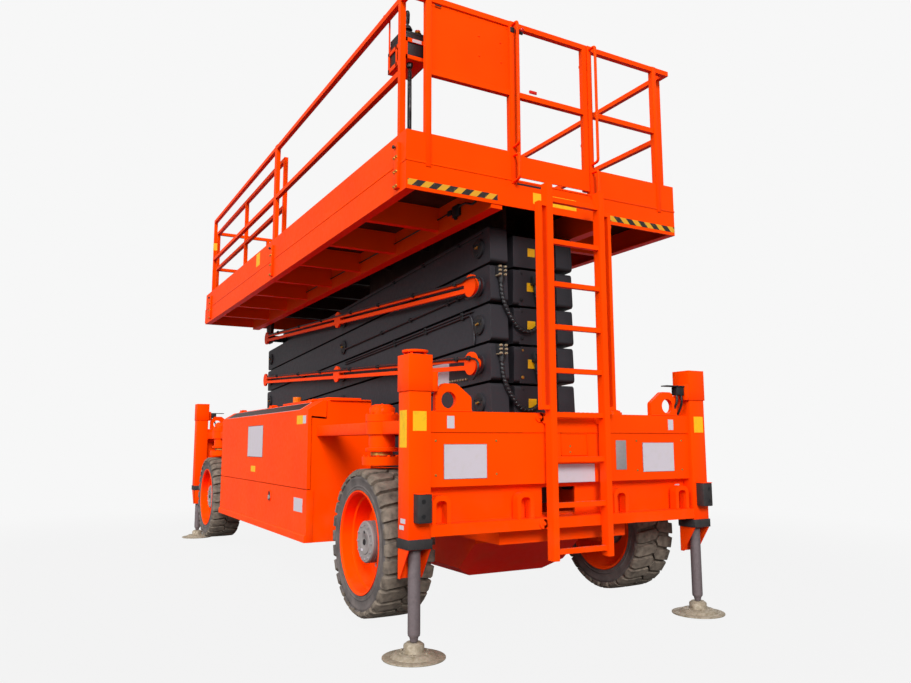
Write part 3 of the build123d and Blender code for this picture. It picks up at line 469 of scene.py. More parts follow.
# Polycarbonate lens, injection moulded, amber: clear colour and sharp highlights.
AMBER = MouldedPlastic("polycarbonate_amber", "#E07000", 0.15, ior=1.58)
# Vinyl film, white, blank, soiled by the site.
WHITE_FILM = PrintedFilm("vinyl_white", "#C4BCC4", 0.5)
# Vinyl film, yellow, blank: flat strong colour, browner where it is soiled.
YELLOW_FILM = PrintedFilm("vinyl_yellow", "#F0B400", 0.45, soil="#A07818")
# Vinyl film, near black, blank: brownish where dust lies on it.
BLACK_FILM = PrintedFilm("vinyl_black", "#3A2824", 0.4, soil="#5A4038")
# Anodised aluminium, brushed: pale grey with a soft metal sheen.
ALUMINIUM = MachinedMetal("anodised_aluminium", "#9C9698", 0.5, 0.3, stain="#847C7A")
# Glass-beaded reflective tape, printed and scuffed: strong yellow and black bands, dull up close.
TAPE = HazardTape("reflective_tape", "#D89A10", 0.5)


class Side(Enum):
    """Left or right of the machine, seen from the ladder."""

    LEFT = -1
    RIGHT = 1


class End(Enum):
    """End of the machine: near has the ladder."""

    NEAR = -1
    FAR = 1


def corner(end: End, side: Side) -> str:
    """Name of a corner of the machine, such as near_left."""
    return f"{end.name.lower()}_{side.name.lower()}"


def from_end(end: End, s: float) -> float:
    """Place along the machine of what stands s millimetres in from one of its ends."""
    return s if end is End.NEAR else BODY_LENGTH - s


# ---------------------------------------------------------------- meshes
def add_object(name: str, data: bpy.types.ID) -> bpy.types.Object:
    """Put a new object with its data in the scene."""
    made = bpy.data.objects.new(name, data)
    bpy.context.scene.collection.objects.link(made)
    return made


class Shape:
    """A mesh being built from simple solids: points in metres, radii and other sizes in millimetres."""

    def __init__(self) -> None:
        """Start empty."""
        self.mesh = bmesh.new()

    def join(self, first: Sequence[bmesh.types.BMVert], second: Sequence[bmesh.types.BMVert]) -> None:
        """Close the strip of faces between two rings of as many points."""
        for step in range(len(first)):
            following = (step + 1) % len(first)
            self.mesh.faces.new((first[step], first[following], second[following], second[step]))

    def box(self, first: Point, second: Point, bevel: float = 0.0) -> "Shape":
        """Add a box between two opposite corners, its edges rounded by bevel."""
        size = [abs(end - start) for start, end in zip(first, second)]
        matrix = Matrix.Translation((Vector(first) + Vector(second)) / 2) @ Matrix.Diagonal((*size, 1))
        made = bmesh.ops.create_cube(self.mesh, size=1, matrix=matrix)["verts"]
        if bevel:
            edges = list({edge for vert in made for edge in vert.link_edges})
            bmesh.ops.bevel(self.mesh, geom=edges, offset=bevel * MM, segments=2, affect="EDGES", profile=0.5)
        return self

    def slab(self, x: Point, s: Point, z: Point, bevel: float = 0.0) -> "Shape":
        """Add a box from its spans in millimetres, placed as the function at does."""
        return self.box(at(x[0], s[0], z[0]), at(x[1], s[1], z[1]), bevel)

    def rod(self, start: Point, end: Point, radius: float, sides: int = 20) -> "Shape":
        """Add a round bar between two points, or a hexagonal one with 6 sides."""
        first, last = Vector(start), Vector(end)
        along = last - first
        turn = along.to_track_quat("Z", "Y").to_matrix().to_4x4()
        bmesh.ops.create_cone(self.mesh, cap_ends=True, segments=sides, radius1=radius * MM,
                              radius2=radius * MM, depth=along.length,
                              matrix=Matrix.Translation((first + last) / 2) @ turn)
        return self

    def turned(self, centre: Point, axis: Point, profile: Iterable[tuple[float, float]], sides: int = 48,
               closed: bool = False) -> "Shape":
        """Add a turned form.

        Args:
            centre: point on its axis.
            axis: direction of the axis.
            profile: pairs of distance along the axis and radius, in millimetres.
            sides: faces around it.
            closed: joins the last pair to the first.
        Returns:
            The shape itself.
        """
        frame = Matrix.Translation(centre) @ Vector(axis).to_track_quat("Z", "Y").to_matrix().to_4x4()
        turns = [math.tau * step / sides for step in range(sides)]
        spokes = [(math.cos(turn), math.sin(turn)) for turn in turns]
        rings = [[self.mesh.verts.new(frame @ (Vector((radius * x, radius * y, along)) * MM))
                  for x, y in spokes] for along, radius in profile]
        for first, second in zip(rings, rings[1:] + rings[:1] if closed else rings[1:]):
            self.join(first, second)
        if not closed:
            self.mesh.faces.new(rings[0][::-1])
            self.mesh.faces.new(rings[-1])
        return self

    def wrapped(self, line: Sequence[Point], radius: float, sides: int, pitch: float,
                groove: float) -> "Shape":
        """Add a hose in a spiral wrap along a smooth line.

        Args:
            line: the points that it follows.
            radius: outer radius of the wrap.
            sides: faces around it.
            pitch: length of one turn of the wrap.
            groove: depth of the gap between its turns, which takes three tenths of the pitch.
        Returns:
            The shape itself.
        """
        points = [Vector(point) for point in line]
        across = (points[1] - points[0]).orthogonal().normalized()
        travelled = 0.0
        rings = []
        for index, point in enumerate(points):
            before, after = points[max(index - 1, 0)], points[min(index + 1, len(points) - 1)]
            ahead = (after - before).normalized()
            across = (across - ahead * across.dot(ahead)).normalized()
            beside = ahead.cross(across)
            travelled += (point - before).length
            ring = []
            for step in range(sides):
                turn = math.tau * step / sides
                spoke = across * math.cos(turn) + beside * math.sin(turn)
                sunk = groove if (travelled / (pitch * MM) + step / sides) % 1 < 0.3 else 0
                ring.append(self.mesh.verts.new(point + spoke * (radius - sunk) * MM))
            rings.append(ring)
        for first, second in zip(rings, rings[1:]):
            self.join(first, second)
        self.mesh.faces.new(rings[0][::-1])
        self.mesh.faces.new(rings[-1])
        return self

    def prism(self, outline: Sequence[Point], depth: Point) -> "Shape":
        """Add a flat outline of points in space, thickened by the vector depth in millimetres."""
        near = [self.mesh.verts.new(Vector(point)) for point in outline]
        far = [self.mesh.verts.new(Vector(point) + Vector(depth) * MM) for point in outline]
        self.mesh.faces.new(near[::-1])
        self.mesh.faces.new(far)
        self.join(near, far)
        return self

    def bolt(self, place: Point, axis: Point, size: float) -> "Shape":
        """Add a hexagon head on its washer.

        Args:
            place: point on the surface under the washer.
            axis: direction out of that surface.
            size: width across the head's flats.
        Returns:
            The shape itself.
        """
        out = Vector(axis).normalized() * size * MM
        seat = Vector(place)
        top = seat + out * 0.14
        self.rod(seat, top, size * 0.85, 20)
        self.rod(top, top + out * 0.5, size / math.sqrt(3), 6)
        return self.rod(top + out * 0.5, top + out * 0.56, size * 0.45, 12)

    def bolt_ring(self, centre: Point, radius: float, count: int, size: float, phase: float = 0.5) -> "Shape":
        """Add a ring of upright bolts.

        Args:
            centre: middle of the ring, on the surface under the washers.
            radius: radius of the ring.
            count: number of bolts.
            size: width across a head's flats.
            phase: turn of the first bolt from +X, as a share of the pitch.
        Returns:
            The shape itself.
        """
        for step in range(count):
            turn = math.tau * (step + phase) / count
            spoke = Vector((math.cos(turn), math.sin(turn), 0)) * radius * MM
            self.bolt(Vector(centre) + spoke, (0, 0, 1), size)
        return self

    def piece(self, name: str, finish: Finish, body: str | None, slot: str | None = None,
              soft: float = 0.0) -> bpy.types.Object:
        """Turn the shape into a piece that rides on a body.

        Args:
            name: the piece's name.
            finish: its finish.
            body: the body that it moves with, or None, which leaves it on no body.
            slot: the record's material slot; not used.
            soft: radius of a bevel on its sharp edges.
        Returns:
            The new object.
        """
        bmesh.ops.recalc_face_normals(self.mesh, faces=self.mesh.faces)
        for face in self.mesh.faces:
            face.smooth = True
        for edge in self.mesh.edges:
            edge.smooth = len(edge.link_faces) == 2 and edge.calc_face_angle() < SMOOTH_BELOW
        data = bpy.data.meshes.new(name)
        self.mesh.to_mesh(data)
        self.mesh.free()
        data.materials.append(finish.material())
        made = add_object(name, data)
        if soft:
            bevel = made.modifiers.new("edges", "BEVEL")
            bevel.width = soft * MM
            bevel.segments = 2
            bevel.limit_method = "ANGLE"
            bevel.angle_limit = SMOOTH_BELOW
            bevel.harden_normals = True
        if body:
            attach(made, body)
        log.info("piece %s on %s: %d faces", name, body, len(data.polygons))
        return made


def hose(name: str, points: Sequence[Point], radius: float, finish: Finish, body: str, resolution: int = 8,
         roundness: int = 3) -> bpy.types.Object:
    """Lay a held hose or pipe along points in metres.

    Args:
        name: the piece's name.
        points: control points of its line.
        radius: outer radius in millimetres.
        finish: its finish.
        body: the body that carries it.
        resolution: steps between two control points.
        roundness: how finely its section is drawn.
    Returns:
        The curve object.
    """
    curve = nurbs(name, points, resolution)
    curve.bevel_depth = radius * MM
    curve.bevel_resolution = roundness
    curve.use_fill_caps = True
    curve.materials.append(finish.material())
    made = add_object(name, curve)
    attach(made, body)
    return made


def nurbs(name: str, points: Sequence[Point], resolution: int) -> bpy.types.Curve:
    """Make a curve of one open, clamped quadratic spline through its first and last points."""
    curve = bpy.data.curves.new(name, "CURVE")
    curve.dimensions = "3D"
    spline = curve.splines.new("NURBS")
    spline.points.add(len(points) - 1)
    for target, point in zip(spline.points, points):
        target.co = (*point, 1.0)
    spline.order_u = 3
    spline.use_endpoint_u = True
    curve.resolution_u = resolution
    return curve


def smooth_line(points: Sequence[Point], resolution: int) -> list[Vector]:
    """Points read from the route's spline, as close together as the resolution asks."""
    curve = nurbs("route", points, resolution)
    holder = bpy.data.objects.new("route", curve)
    mesh = bpy.data.meshes.new_from_object(holder)
    line = [vertex.co.copy() for vertex in mesh.vertices]
    bpy.data.objects.remove(holder)
    bpy.data.curves.remove(curve)
    bpy.data.meshes.remove(mesh)
    return line


def run_length(line: Sequence[Vector]) -> float:
    """Length of a line of points."""
    return sum((ahead - point).length for point, ahead in zip(line, line[1:]))


# ---------------------------------------------------------------- paintwork
@dataclass
class Paintwork:
    """Finish of each node of the frame, by the start of its name."""

    finishes: tuple[tuple[str, Finish], ...] = (
        ("ladder", TRODDEN), ("outer_arm", SLATE), ("inner_arm", SLATE), ("tyre", TREAD),
        ("rubber_fittings", NITRILE), ("leg_columns", ORANGE), ("leg_", RAM_STEEL), ("engine_block", IRON),
        ("tank_block", BLACK_STEEL), ("beacon", AMBER), ("control_box", ABS_BLACK),
        ("cord_sockets", ABS_BLACK), ("curly_cord", JACKET), ("deck_frame", DECK),
        ("extension_deck", EXTENSION), ("", ORANGE))

    def apply(self, nodes: dict[str, bpy.types.Object]) -> None:
        """Put each node's finish in its material slots."""
        for name, node in nodes.items():
            finish = next(finish for start, finish in self.finishes if name.startswith(start))
            node.data.materials.clear()
            node.data.materials.append(finish.material())


# ---------------------------------------------------------------- wheels
@dataclass
class WheelSet:
    """Tyre, rim and hub of one wheel, in millimetres from the middle of the tyre."""

    end: End
    side: Side
    lugs: int = 28
    radius: float = 500.0
    carcass: float = 472.0
    half_width: float = 180.0
    bead: float = 338.4
    side_wall: float = 451.0
    hub_bolts: int = 12
    hub_radius: float = 140.0
    hub_face: float = 60.0
    disc: float = 200.0

    def __post_init__(self) -> None:
        """Read the wheel's place from the frame."""
        self.key = corner(self.end, self.side)
        self.body = f"wheel_{self.key}"
        low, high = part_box(f"tyre_{self.key}")
        self.centre = (low + high) / 2
        self.out = Vector((self.side.value, 0, 0))
        self.outer = self.centre + self.out * self.half_width * MM

    def at(self, across: float, arc: float, radius: float) -> Vector:
        """Point on the tyre: across from its middle, arc along the tread, and radius."""
        turn = arc / self.radius
        around = Vector((0, math.sin(turn), math.cos(turn))) * radius
        return self.centre + (self.out * across + around) * MM

    def tyre(self) -> None:
        """Build the carcass and its two rows of chevron lugs."""
        shape = Shape()
        w, r = self.half_width, self.carcass
        half = [(w - 40, 338), (w - 30, 338.5), (w - 22, 351), (w - 12, 354), (w - 14, 372), (w - 10, 376),
                (w - 10, 383), (w - 14, 387), (w - 12, 425), (w - 8, 431), (w - 8, 438), (w - 14, 450),
                (w - 34, r - 4), (w - 80, r)]
        ring = half + [(-across, radius) for across, radius in reversed(half)]
        shape.turned(self.centre, self.out, ring, 84, closed=True)
        # the face between the beads is open, where the rim goes through
        for face in list(shape.mesh.faces):
            places = [vert.co - self.centre for vert in face.verts]
            inside = all(math.hypot(place.y, place.z) < self.bead * MM for place in places)
            if inside and max(abs(place.x) for place in places) < (w - 27) * MM:
                shape.mesh.faces.remove(face)
        pitch = math.tau * self.radius / self.lugs
        for row, shift in ((1, 0.0), (-1, 0.5)):
            for step in range(self.lugs):
                self.lug(shape, row, (step + shift) * pitch)
        made = shape.piece(f"tyre_tread_{self.key}", TREAD, self.body, "tyre_rubber", soft=4)
        made.data.materials.append(SIDEWALL.material())
        for face in made.data.polygons:
            middle = face.center - self.centre
            if math.hypot(middle.y, middle.z) < self.side_wall * MM and abs(middle.x) < (w - 6) * MM:
                face.material_index = 1
        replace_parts(made, f"tyre_{self.key}")

    def lug(self, shape: Shape, row: int, arc: float) -> None:
        """Add one lug.

        Args:
            shape: the tyre's shape.
            row: 1 for the outboard row, -1 for the inboard one.
            arc: its place along the tread.
        """
        w, top, slant, draft = self.half_width, self.radius, 28, 4
        # across from the middle, half length along the tread, height of the crown, depth of the root
        stations = [(14, 38, top, self.carcass - 6), (90, 41, top, self.carcass - 6),
                    (w - 26, 41, top - 3, self.carcass - 12), (w - 3, 38, top - 22, 452),
                    (w, 34, top - 46, 448)]
        rings = []
        for across, length, crown, root in stations:
            shift = arc + slant * (w - across) / (w - 14)
            inner = w - 16 if across > w - 10 else across
            rings.append([shape.mesh.verts.new(self.at(row * x, shift + v, height)) for x, v, height in (
                (inner, -length - draft, root), (across, -length, crown),
                (across, length, crown), (inner, length + draft, root))])
        low, high = [shape.mesh.verts.new(self.at(-8 * row, arc + slant, height))
                     for height in (self.carcass - 6, top)]
        for first, second in zip(rings, rings[1:]):
            shape.join(first, second)
        shape.mesh.faces.new(rings[-1])
        foot, crown, back, root = rings[0]
        for corners in ((foot, crown, high, low), (back, root, low, high), (crown, back, high),
                        (root, foot, low)):
            shape.mesh.faces.new(corners)

    def rim(self) -> None:
        """Press the rim and its deep disc, with the drive hub behind it."""
        section = [(-8, 343), (-20, 330), (-92, 324), (-98, 306), (-186, 298), (-200, 284), (-200, 130),
                   (-214, 130), (-214, 300), (-226, 313), (-340, 326), (-352, 343), (-352, 350), (-336, 350),
                   (-330, 338), (-30, 338), (-24, 350), (-8, 350)]
        shape = Shape().turned(self.outer, self.out, section, 84, closed=True)
        made = shape.piece(f"rim_{self.key}", ORANGE, self.body, "rim_paint", soft=1.5)
        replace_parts(made, f"wheel_{self.key}")
        drum = [(-270, 100), (-270, 118), (-244, 150), (-205, 154), (-199, 146), (-199, 100)]
        Shape().turned(self.outer, self.out, drum, 56).piece(
            f"hub_drum_{self.key}", IRON, self.body, "grey_paint")

    def hub(self) -> None:
        """Dress the wheel with its hub cover, rings of bolts, oil plugs and blank label."""
        face = self.outer - self.out * self.hub_face * MM
        r, skin, floor = self.hub_radius, 1.5, self.disc - self.hub_face
        cover = [(-floor + skin, r + 8), (-floor + 12, r + skin), (-34, r + skin), (-33, r - 2), (-28, r - 2),
                 (-27, r + skin), (-6, r + skin), (skin, r - 6), (skin, 84), (5, 80), (5, 46), (2, 42)]
        Shape().turned(face, self.out, cover, 56).piece(f"hub_cover_{self.key}", IRON, self.body)
        bolts = Shape()
        for step in range(self.hub_bolts):
            turn = math.tau * step / self.hub_bolts
            spoke = Vector((0, math.sin(turn), math.cos(turn)))
            bolts.bolt(face + (self.out * skin + spoke * 116) * MM, self.out, 13)
            seat = self.outer + (spoke * 205 - self.out * self.disc) * MM
            bolts.rod(seat, seat + self.out * 14 * MM, 15, 6)
        bolts.piece(f"hub_bolts_{self.key}", ALUMINIUM, self.body)
        plugs = Shape()
        for up, tip, radius in ((0, 9, 20), (66, 8, 10)):
            height = Vector((0, 0, up))
            plugs.rod(face + (self.out * 2 + height) * MM, face + (self.out * tip + height) * MM, radius, 6)
        plugs.piece(f"hub_plug_{self.key}", BLACK_STEEL, self.body)
        label = face + (self.out * 5 + Vector((0, 24, -64))) * MM
        Shape().box(label, label + (self.out + Vector((0, 34, 16))) * MM).piece(
            f"hub_label_{self.key}", WHITE_FILM, self.body)

    def build(self) -> None:
        """Build the tyre and the rim, and dress the hub."""
        self.tyre()
        self.rim()
        self.hub()


# ---------------------------------------------------------------- cords
@dataclass
class CurlyCord:
    """Curly cord from the socket on the deck up to the one under the control box."""

    place: tuple[float, float] = (-1090.0, 352.0)
    heights: tuple[float, float] = (3160.0, 3850.0)
    wire: float = 6.2
    coil: float = 12.8
    pitch: float = 9.4
    turn_points: int = 12

    def build(self) -> None:
        x, s = self.place
        low, high = self.heights
        route = smooth_line([at(x, s, low), at(x, s, low + 230), at(x, s, high - 230), at(x, s, high)], 60)
        steps = int(run_length(route) / (self.pitch * MM)) * self.turn_points
        points = []
        for step in range(steps + 1):
            along = step / steps * (len(route) - 1)
            index = min(int(along), len(route) - 2)
            place = route[index].lerp(route[index + 1], along - index)
            reach = self.coil * min(1.0, step / 18, (steps - step) / 18)
            turn = math.tau * step / self.turn_points
            points.append(place + Vector((math.cos(turn), math.sin(turn), 0)) * reach * MM)
        length = run_length(smooth_line(points, 3))
        made = hose("curly_cord_coil", points, self.wire / 2, JACKET, "platform", 3, 2)
        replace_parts(made, "curly_cord")


@dataclass
class HoseLoop:
    """Wrapped hydraulic hose that hangs between an outer arm and the inner arm above its end."""

    level: int
    s: float = 441.0
    radius: float = 16.5
    # across, and height over the pin
    route: tuple[tuple[float, float], ...] = (
        (-296, 60), (-296, -75), (-245, -195), (-180, -287), (-131, -328), (-74, -345), (-17, -332),
        (28, -294), (50, -243), (44, -135), (14, -55), (14, 15))

    def build(self) -> None:
        outer, inner = f"outer_arm_{self.level}", f"inner_arm_{self.level + 1}"
        pin = Stack().pin(self.level)
        line = smooth_line([at(x, self.s, pin + z) for x, z in self.route], 30)
        shape = Shape().wrapped(line, self.radius, 14, pitch=30, groove=4)
        made = shape.piece(f"hose_loop_{self.level}", HOSE, None, "black_rubber")
        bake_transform(made)
        for body, (x, z) in ((outer, self.route[0]), (inner, self.route[-1])):
            block = Shape().slab((x - 34, x + 34), (self.s - 21.5, 480), (pin + z, pin + z + 70), 4)
            block.rod(at(x, self.s, pin + z - 34), at(x, self.s, pin + z), 20, 6)
            block.rod(at(x, self.s, pin + z - 52), at(x, self.s, pin + z - 34), 19, 20)
            for across in (-20, 20):
                for up in (14, 56):
                    block.bolt(at(x + across, self.s - 21.5, pin + z + up), (0, -1, 0), 12)
            block.piece(f"manifold_{self.level}_{body}", BLACK_STEEL, body, "dark_steel")


CORDS = (CurlyCord(), HoseLoop(3), HoseLoop(5))


# ---------------------------------------------------------------- chassis
@dataclass
class EndWall:
    """Plates, labels, screws and brackets of one end of the chassis."""

    end: End

    def piece(self, shape: Shape, name: str, finish: Finish, slot: str | None = None) -> None:
        """Finish a shape built for the near end and turn it to this wall's end."""
        if self.end is End.FAR:
            bmesh.ops.rotate(shape.mesh, verts=shape.mesh.verts, matrix=Matrix.Rotation(math.pi, 3, "Z"))
        shape.piece(f"{name}_{self.end.name.lower()}", finish, "chassis", slot)

    def plates(self) -> None:
        """Screw the blank plates to the sheet, and stick the blank labels on."""
        white = Shape().slab((-994, -686), (28.5, 32.2), (1038, 1249))
        white.slab((642, 945), (28.5, 32.2), (1049, 1255))
        for x, z in ((-977, 1349), (894, 1349)):
            white.slab((x, x + 52), (22.6, 24.2), (z, z + 77))
        white.slab((1014, 1060), (98.6, 100.2), (900, 947))
        white.slab((-1251.5, -1249.8), (46, 111), (780, 808)).slab((-1251.5, -1249.8), (66, 126), (742, 768))
        white.slab((-208, 191), (28.5, 32.2), (992, 1114))
        self.piece(white, "plates_white", WHITE_FILM)
        # thin dark outline around each large plate
        border = Shape()
        for x0, x1, z0, z1 in ((-994, -686, 1038, 1249), (642, 945, 1049, 1255), (-208, 191, 992, 1114)):
            border.slab((x0 - 2, x1 + 2), (30.4, 32.2), (z0 - 2, z1 + 2))
        self.piece(border, "plate_borders", SIDEWALL)
        self.piece(Shape().slab((389, 484), (29, 32.2), (1068, 1273), 1), "plate_grey", ALUMINIUM)
        yellow = Shape().slab((-1225, -1133), (-1.8, 0.2), (1332, 1451))
        yellow.slab((1136, 1230), (-1.8, 0.2), (1331, 1450))
        yellow.slab((-1251.8, -1249.8), (32, 130), (1232, 1458))
        self.piece(yellow, "labels_yellow", YELLOW_FILM)
        screws = Shape()
        for x, z in ((-1052, 1272), (-612, 1272), (-1052, 1062), (-611, 1061), (584, 1270), (1029, 1270),
                     (587, 1060), (1028, 1057), (-15, 1234), (-15, 1194)):
            screws.bolt(at(x, 32, z), (0, -1, 0), 9)
        self.piece(screws, "screws", BRASS)

    def hoop(self, steel: Shape, x: float) -> None:
        """Add one lashing hoop: a thick bent plate with rounded shoulders."""
        def rounded(half: float, top: float, bend: float) -> list[tuple[float, float]]:
            """Outline of an arch, from its left foot to its right one."""
            points = [(-half, 770.0)]
            for step in range(7):
                turn = math.pi - step * math.pi / 12
                points.append((-half + bend + bend * math.cos(turn), top - bend + bend * math.sin(turn)))
            return points + [(-across, z) for across, z in reversed(points)]
        outer, inner = rounded(65, 940, 50), rounded(36.5, 907, 26)
        for corners in zip(outer, outer[1:], inner[1:], inner):
            steel.prism([at(x + across, 12, z) for across, z in corners], (0, 62, 0))

    def steelwork(self) -> None:
        """Add the bracket boxes, buffer plates, pocket rim, hoops, weld beads and painted shade in the buffer
        holes.
        """
        steel = Shape()
        for side in (-1, 1):
            steel.slab((side * 1055, side * 1094), (-7, 98), (1573, 1695), 4)
            steel.slab((side * 1128, side * 1222), (-74, 0), (957, 962), 1)
        for x0, x1, z0, z1 in ((-94, 134, 1318, 1324), (-94, 134, 1171, 1177), (-94, -88, 1171, 1324),
                               (128, 134, 1171, 1324)):
            steel.slab((x0, x1), (26, 33), (z0, z1), 1)
        for x in (-1020, -400, 410, 1000):
            self.hoop(steel, x)
        self.piece(steel, "brackets", ORANGE, "orange_paint")
        welds = Shape()
        for s, z in ((100, 770), (99, 990)):
            welds.rod(at(-1098, s, z), at(1098, s, z), 6, 8)
        for hole_x in (-960, 900):
            outboard = math.copysign(1, hole_x)
            welds.rod(at(hole_x + outboard * 95, 28, 1457), at(hole_x - outboard * 165, 28, 1457), 6, 8)
        self.piece(welds, "weld_beads", ORANGE, "orange_paint")
        # painted shade: thin dark discs stand for the shade inside the buffer holes
        dark = Shape()
        for side in (-1, 1):
            for z in (915, 828):
                dark.turned(at(side * 1186, -72, z), (0, -1, 0), [(-0.5, 14), (0.6, 14),
                                                                 (0.6, 1)], 20)
        self.piece(dark, "buffer_holes", JACKET, "dark_steel")

    def switch(self) -> None:
        """Fix the levelling switch plate by the right cap, with its two hoses down to the beam."""
        plate = Shape().slab((872, 1057), (-4, 60), (1672, 1680), 1.5)
        plate.slab((978, 1052), (2, 60), (1610, 1672), 5)
        self.piece(plate, "level_switch", BLACK_STEEL, "dark_steel")
        sign = -self.end.value
        for index, x in enumerate((990, 1036)):
            points = [at(x, 20, 1612), at(x, 12, 1560), at(x - 14 + index * 20, 34, 1520),
                      at(x - 10, 60, 1455)]
            hose(f"switch_hose_{index}_{self.end.name.lower()}",
                 [(point.x * sign, point.y * sign, point.z) for point in points], 9, JACKET, "chassis")

    def build(self) -> None:
        """Build the wall's fittings."""
        self.plates()
        self.steelwork()
        self.switch()


@dataclass
class Columns:
    """The four outrigger columns with their caps, rubber and legs, and the level target."""

    x: float = 1175.0
    s: float = 75.0

    def column(self, side: int, end: End) -> Shape:
        """Weld one column with its cap and the slanted guard round its rod."""
        sign, x, half, lip = end.value, side * self.x, 75, 82
        s = from_end(end, self.s)
        steel = Shape().slab((x - half, x + half), (s - half, s + half), (630, 1573), 3)
        steel.slab((x - lip, x + lip), (s - lip, s + lip), (1573, 1800), 3)
        back = s - sign * half
        steel.slab((x - half, x + half), (back, back + sign * 6), (450, 631), 1)
        for cheek in (-half, half - 6):
            steel.prism([at(x + cheek, back, 450), at(x + cheek, back, 631),
                         at(x + cheek, s + sign * half, 631), at(x + cheek, back + sign * 30, 450)],
                        (6, 0, 0))
        return steel

    def target(self) -> None:
        """Stand the level target on its four posts on the near left column."""
        place = at(-self.x, self.s, 1816)
        steel = Shape().turned(place, (0, 0, 1), [(0, 82), (14, 82), (14.6, 79),
                                                  (14.6, 0.1)], 48)
        for across in (-46, 46):
            for along in (-46, 46):
                steel.rod(place + Vector((across, along, -16)) * MM, place + Vector((across, along, 0)) * MM,
                          8, 12)
        steel.piece("level_target", ORANGE, "chassis", "orange_paint")
        place = at(-self.x, self.s, 1800)
        Shape().turned(place, (0, 0, 1), [(-1, 44), (8, 44), (12, 30)], 32).piece(
            "level_lens", WHITE_FILM, "chassis")

    def rubber(self) -> None:
        """Fit the rubber buffers and the collars above the guards."""
        shape = Shape()
        for side in (-1, 1):
            for end in End:
                x, s = side * self.x, from_end(end, self.s)
                for x0, x1, s0, s1 in ((x - 82, x + 82, s - 82, s - 74.8), (x - 82, x + 82, s + 74.8, s + 82),
                                       (x - 82, x - 74.8, s - 75, s + 75), (x + 74.8, x + 82, s - 75, s + 75)):
                    shape.slab((x0, x1), (s0, s1), (632, 690), 2)
                outer = s + end.value * 75
                shape.slab((x - 45, x + 46), (outer, outer + end.value * 72), (789, 957), 6)
                shape.turned(at(x, s, 630), (0, 0, -1), [(-2, 62), (8, 60), (10, 46),
                                                        (10, 40), (-2, 40)], 40)
        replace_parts(shape.piece("rubber_buffers", NITRILE, "chassis", "black_rubber"), "rubber_fittings")

    def legs(self) -> None:
        """Turn the four legs: rod, neck, cup and pressed foot."""
        for side in Side:
            for end in End:
                key = corner(end, side)
                foot = at(side.value * self.x, from_end(end, self.s), 0)
                rod = Shape().turned(foot, (0, 0, 1), (
                    (92, 20), (104, 24), (118, 27), (128, 36), (140, 38), (1130, 38)), 48)
                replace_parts(rod.piece(f"leg_rod_{key}", RAM_STEEL, f"leg_{key}", "leg_steel"), f"leg_{key}")
                cup = Shape().turned(foot, (0, 0, 1), (
                    (0, 188), (2, 190), (8, 190), (10, 187), (12, 142), (16, 138), (30, 118), (34, 112),
                    (36, 66), (40, 62.5), (74, 62.5), (80, 60), (88, 48), (92, 44), (92, 26), (86, 22)), 64)
                cup.bolt_ring(foot + Vector((0, 0, 34.5)) * MM, 90, 6, 11, phase=0)
                cup.piece(f"leg_foot_{key}", FOOT, f"leg_{key}", "leg_steel")

    def build(self) -> None:
        """Build the columns, the target, the rubber and the legs."""
        for end in End:
            for side in Side:
                made = self.column(side.value, end).piece(f"column_{corner(end, side)}", ORANGE, "chassis",
                                                          "orange_paint")
                if end is End.NEAR and side is Side.LEFT:
                    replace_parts(made, "leg_columns")
        self.target()
        self.rubber()
        self.legs()


@dataclass
class Axle:
    """Beams and stepped kingpin housings of one axle, over the steered wheels."""

    end: End
    kingpin: float = 1057.0
    inset: float = 840.0
    beam: tuple[float, float] = (1318.0, 1408.0)
    cabinet: tuple[float, float] = (2117.0, 5390.0)

    def build(self) -> None:
        """Weld the beams and housings, and bolt on the caps."""
        key, s, column = self.end.name.lower(), from_end(self.end, self.inset), from_end(self.end, 150)
        cabinet = self.cabinet[0 if self.end is End.NEAR else 1]
        steel, brass, bolts = Shape(), Shape(), Shape()
        for side in (-1, 1):
            x = side * self.kingpin
            steel.slab((x - side * 105, x + side * 45), (column, cabinet), self.beam, 6)
            steel.slab((side * 475, x - side * 30), (s - 110, s + 110), self.beam, 6)
            steel.slab((side * 445, side * 535), (s - 110, s + 110), (900, 1408), 6)
            steel.prism([at(side * 535, s - 12, 1322), at(side * 760, s - 12, 1322),
                         at(side * 535, s - 12, 1060)], (0, 24, 0))
            steel.turned(at(x, s, 0), (0, 0, 1), (
                (1171, 70), (1171, 77), (1200, 77), (1200, 116), (1206, 118), (1226, 118), (1230, 94),
                (1318, 94), (1320, 114), (1408, 116), (1410, 118), (1458, 118), (1462, 114), (1462, 92),
                (1506, 91), (1510, 88), (1510, 78), (1524, 76), (1527, 60)), 56)
            brass.turned(at(x, s, 0), (0, 0, 1), (
                (1173, 70), (1173, 79.5), (1197, 79.5), (1197, 70)), 48, closed=True)
            bolts.bolt_ring(at(x, s, 1462), 102, 8, 17)
            bolts.rod(at(x, s, 1527), at(x, s, 1538), 7, 6)
        made = steel.piece(f"axle_steelwork_{key}", ORANGE, "chassis", "orange_paint")
        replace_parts(made, f"axle_{key}")
        brass.piece(f"kingpin_rings_{key}", BRASS, "chassis")
        bolts.piece(f"kingpin_bolts_{key}", ORANGE, "chassis", "orange_paint")
        for side in Side:
            place = at(side.value * self.kingpin, s, 1165)
            Shape().bolt_ring(place, 122, 10, 16).piece(f"knuckle_bolts_{key}_{side.name.lower()}", ORANGE,
                                                        f"knuckle_{key}_{side.name.lower()}", "orange_paint")


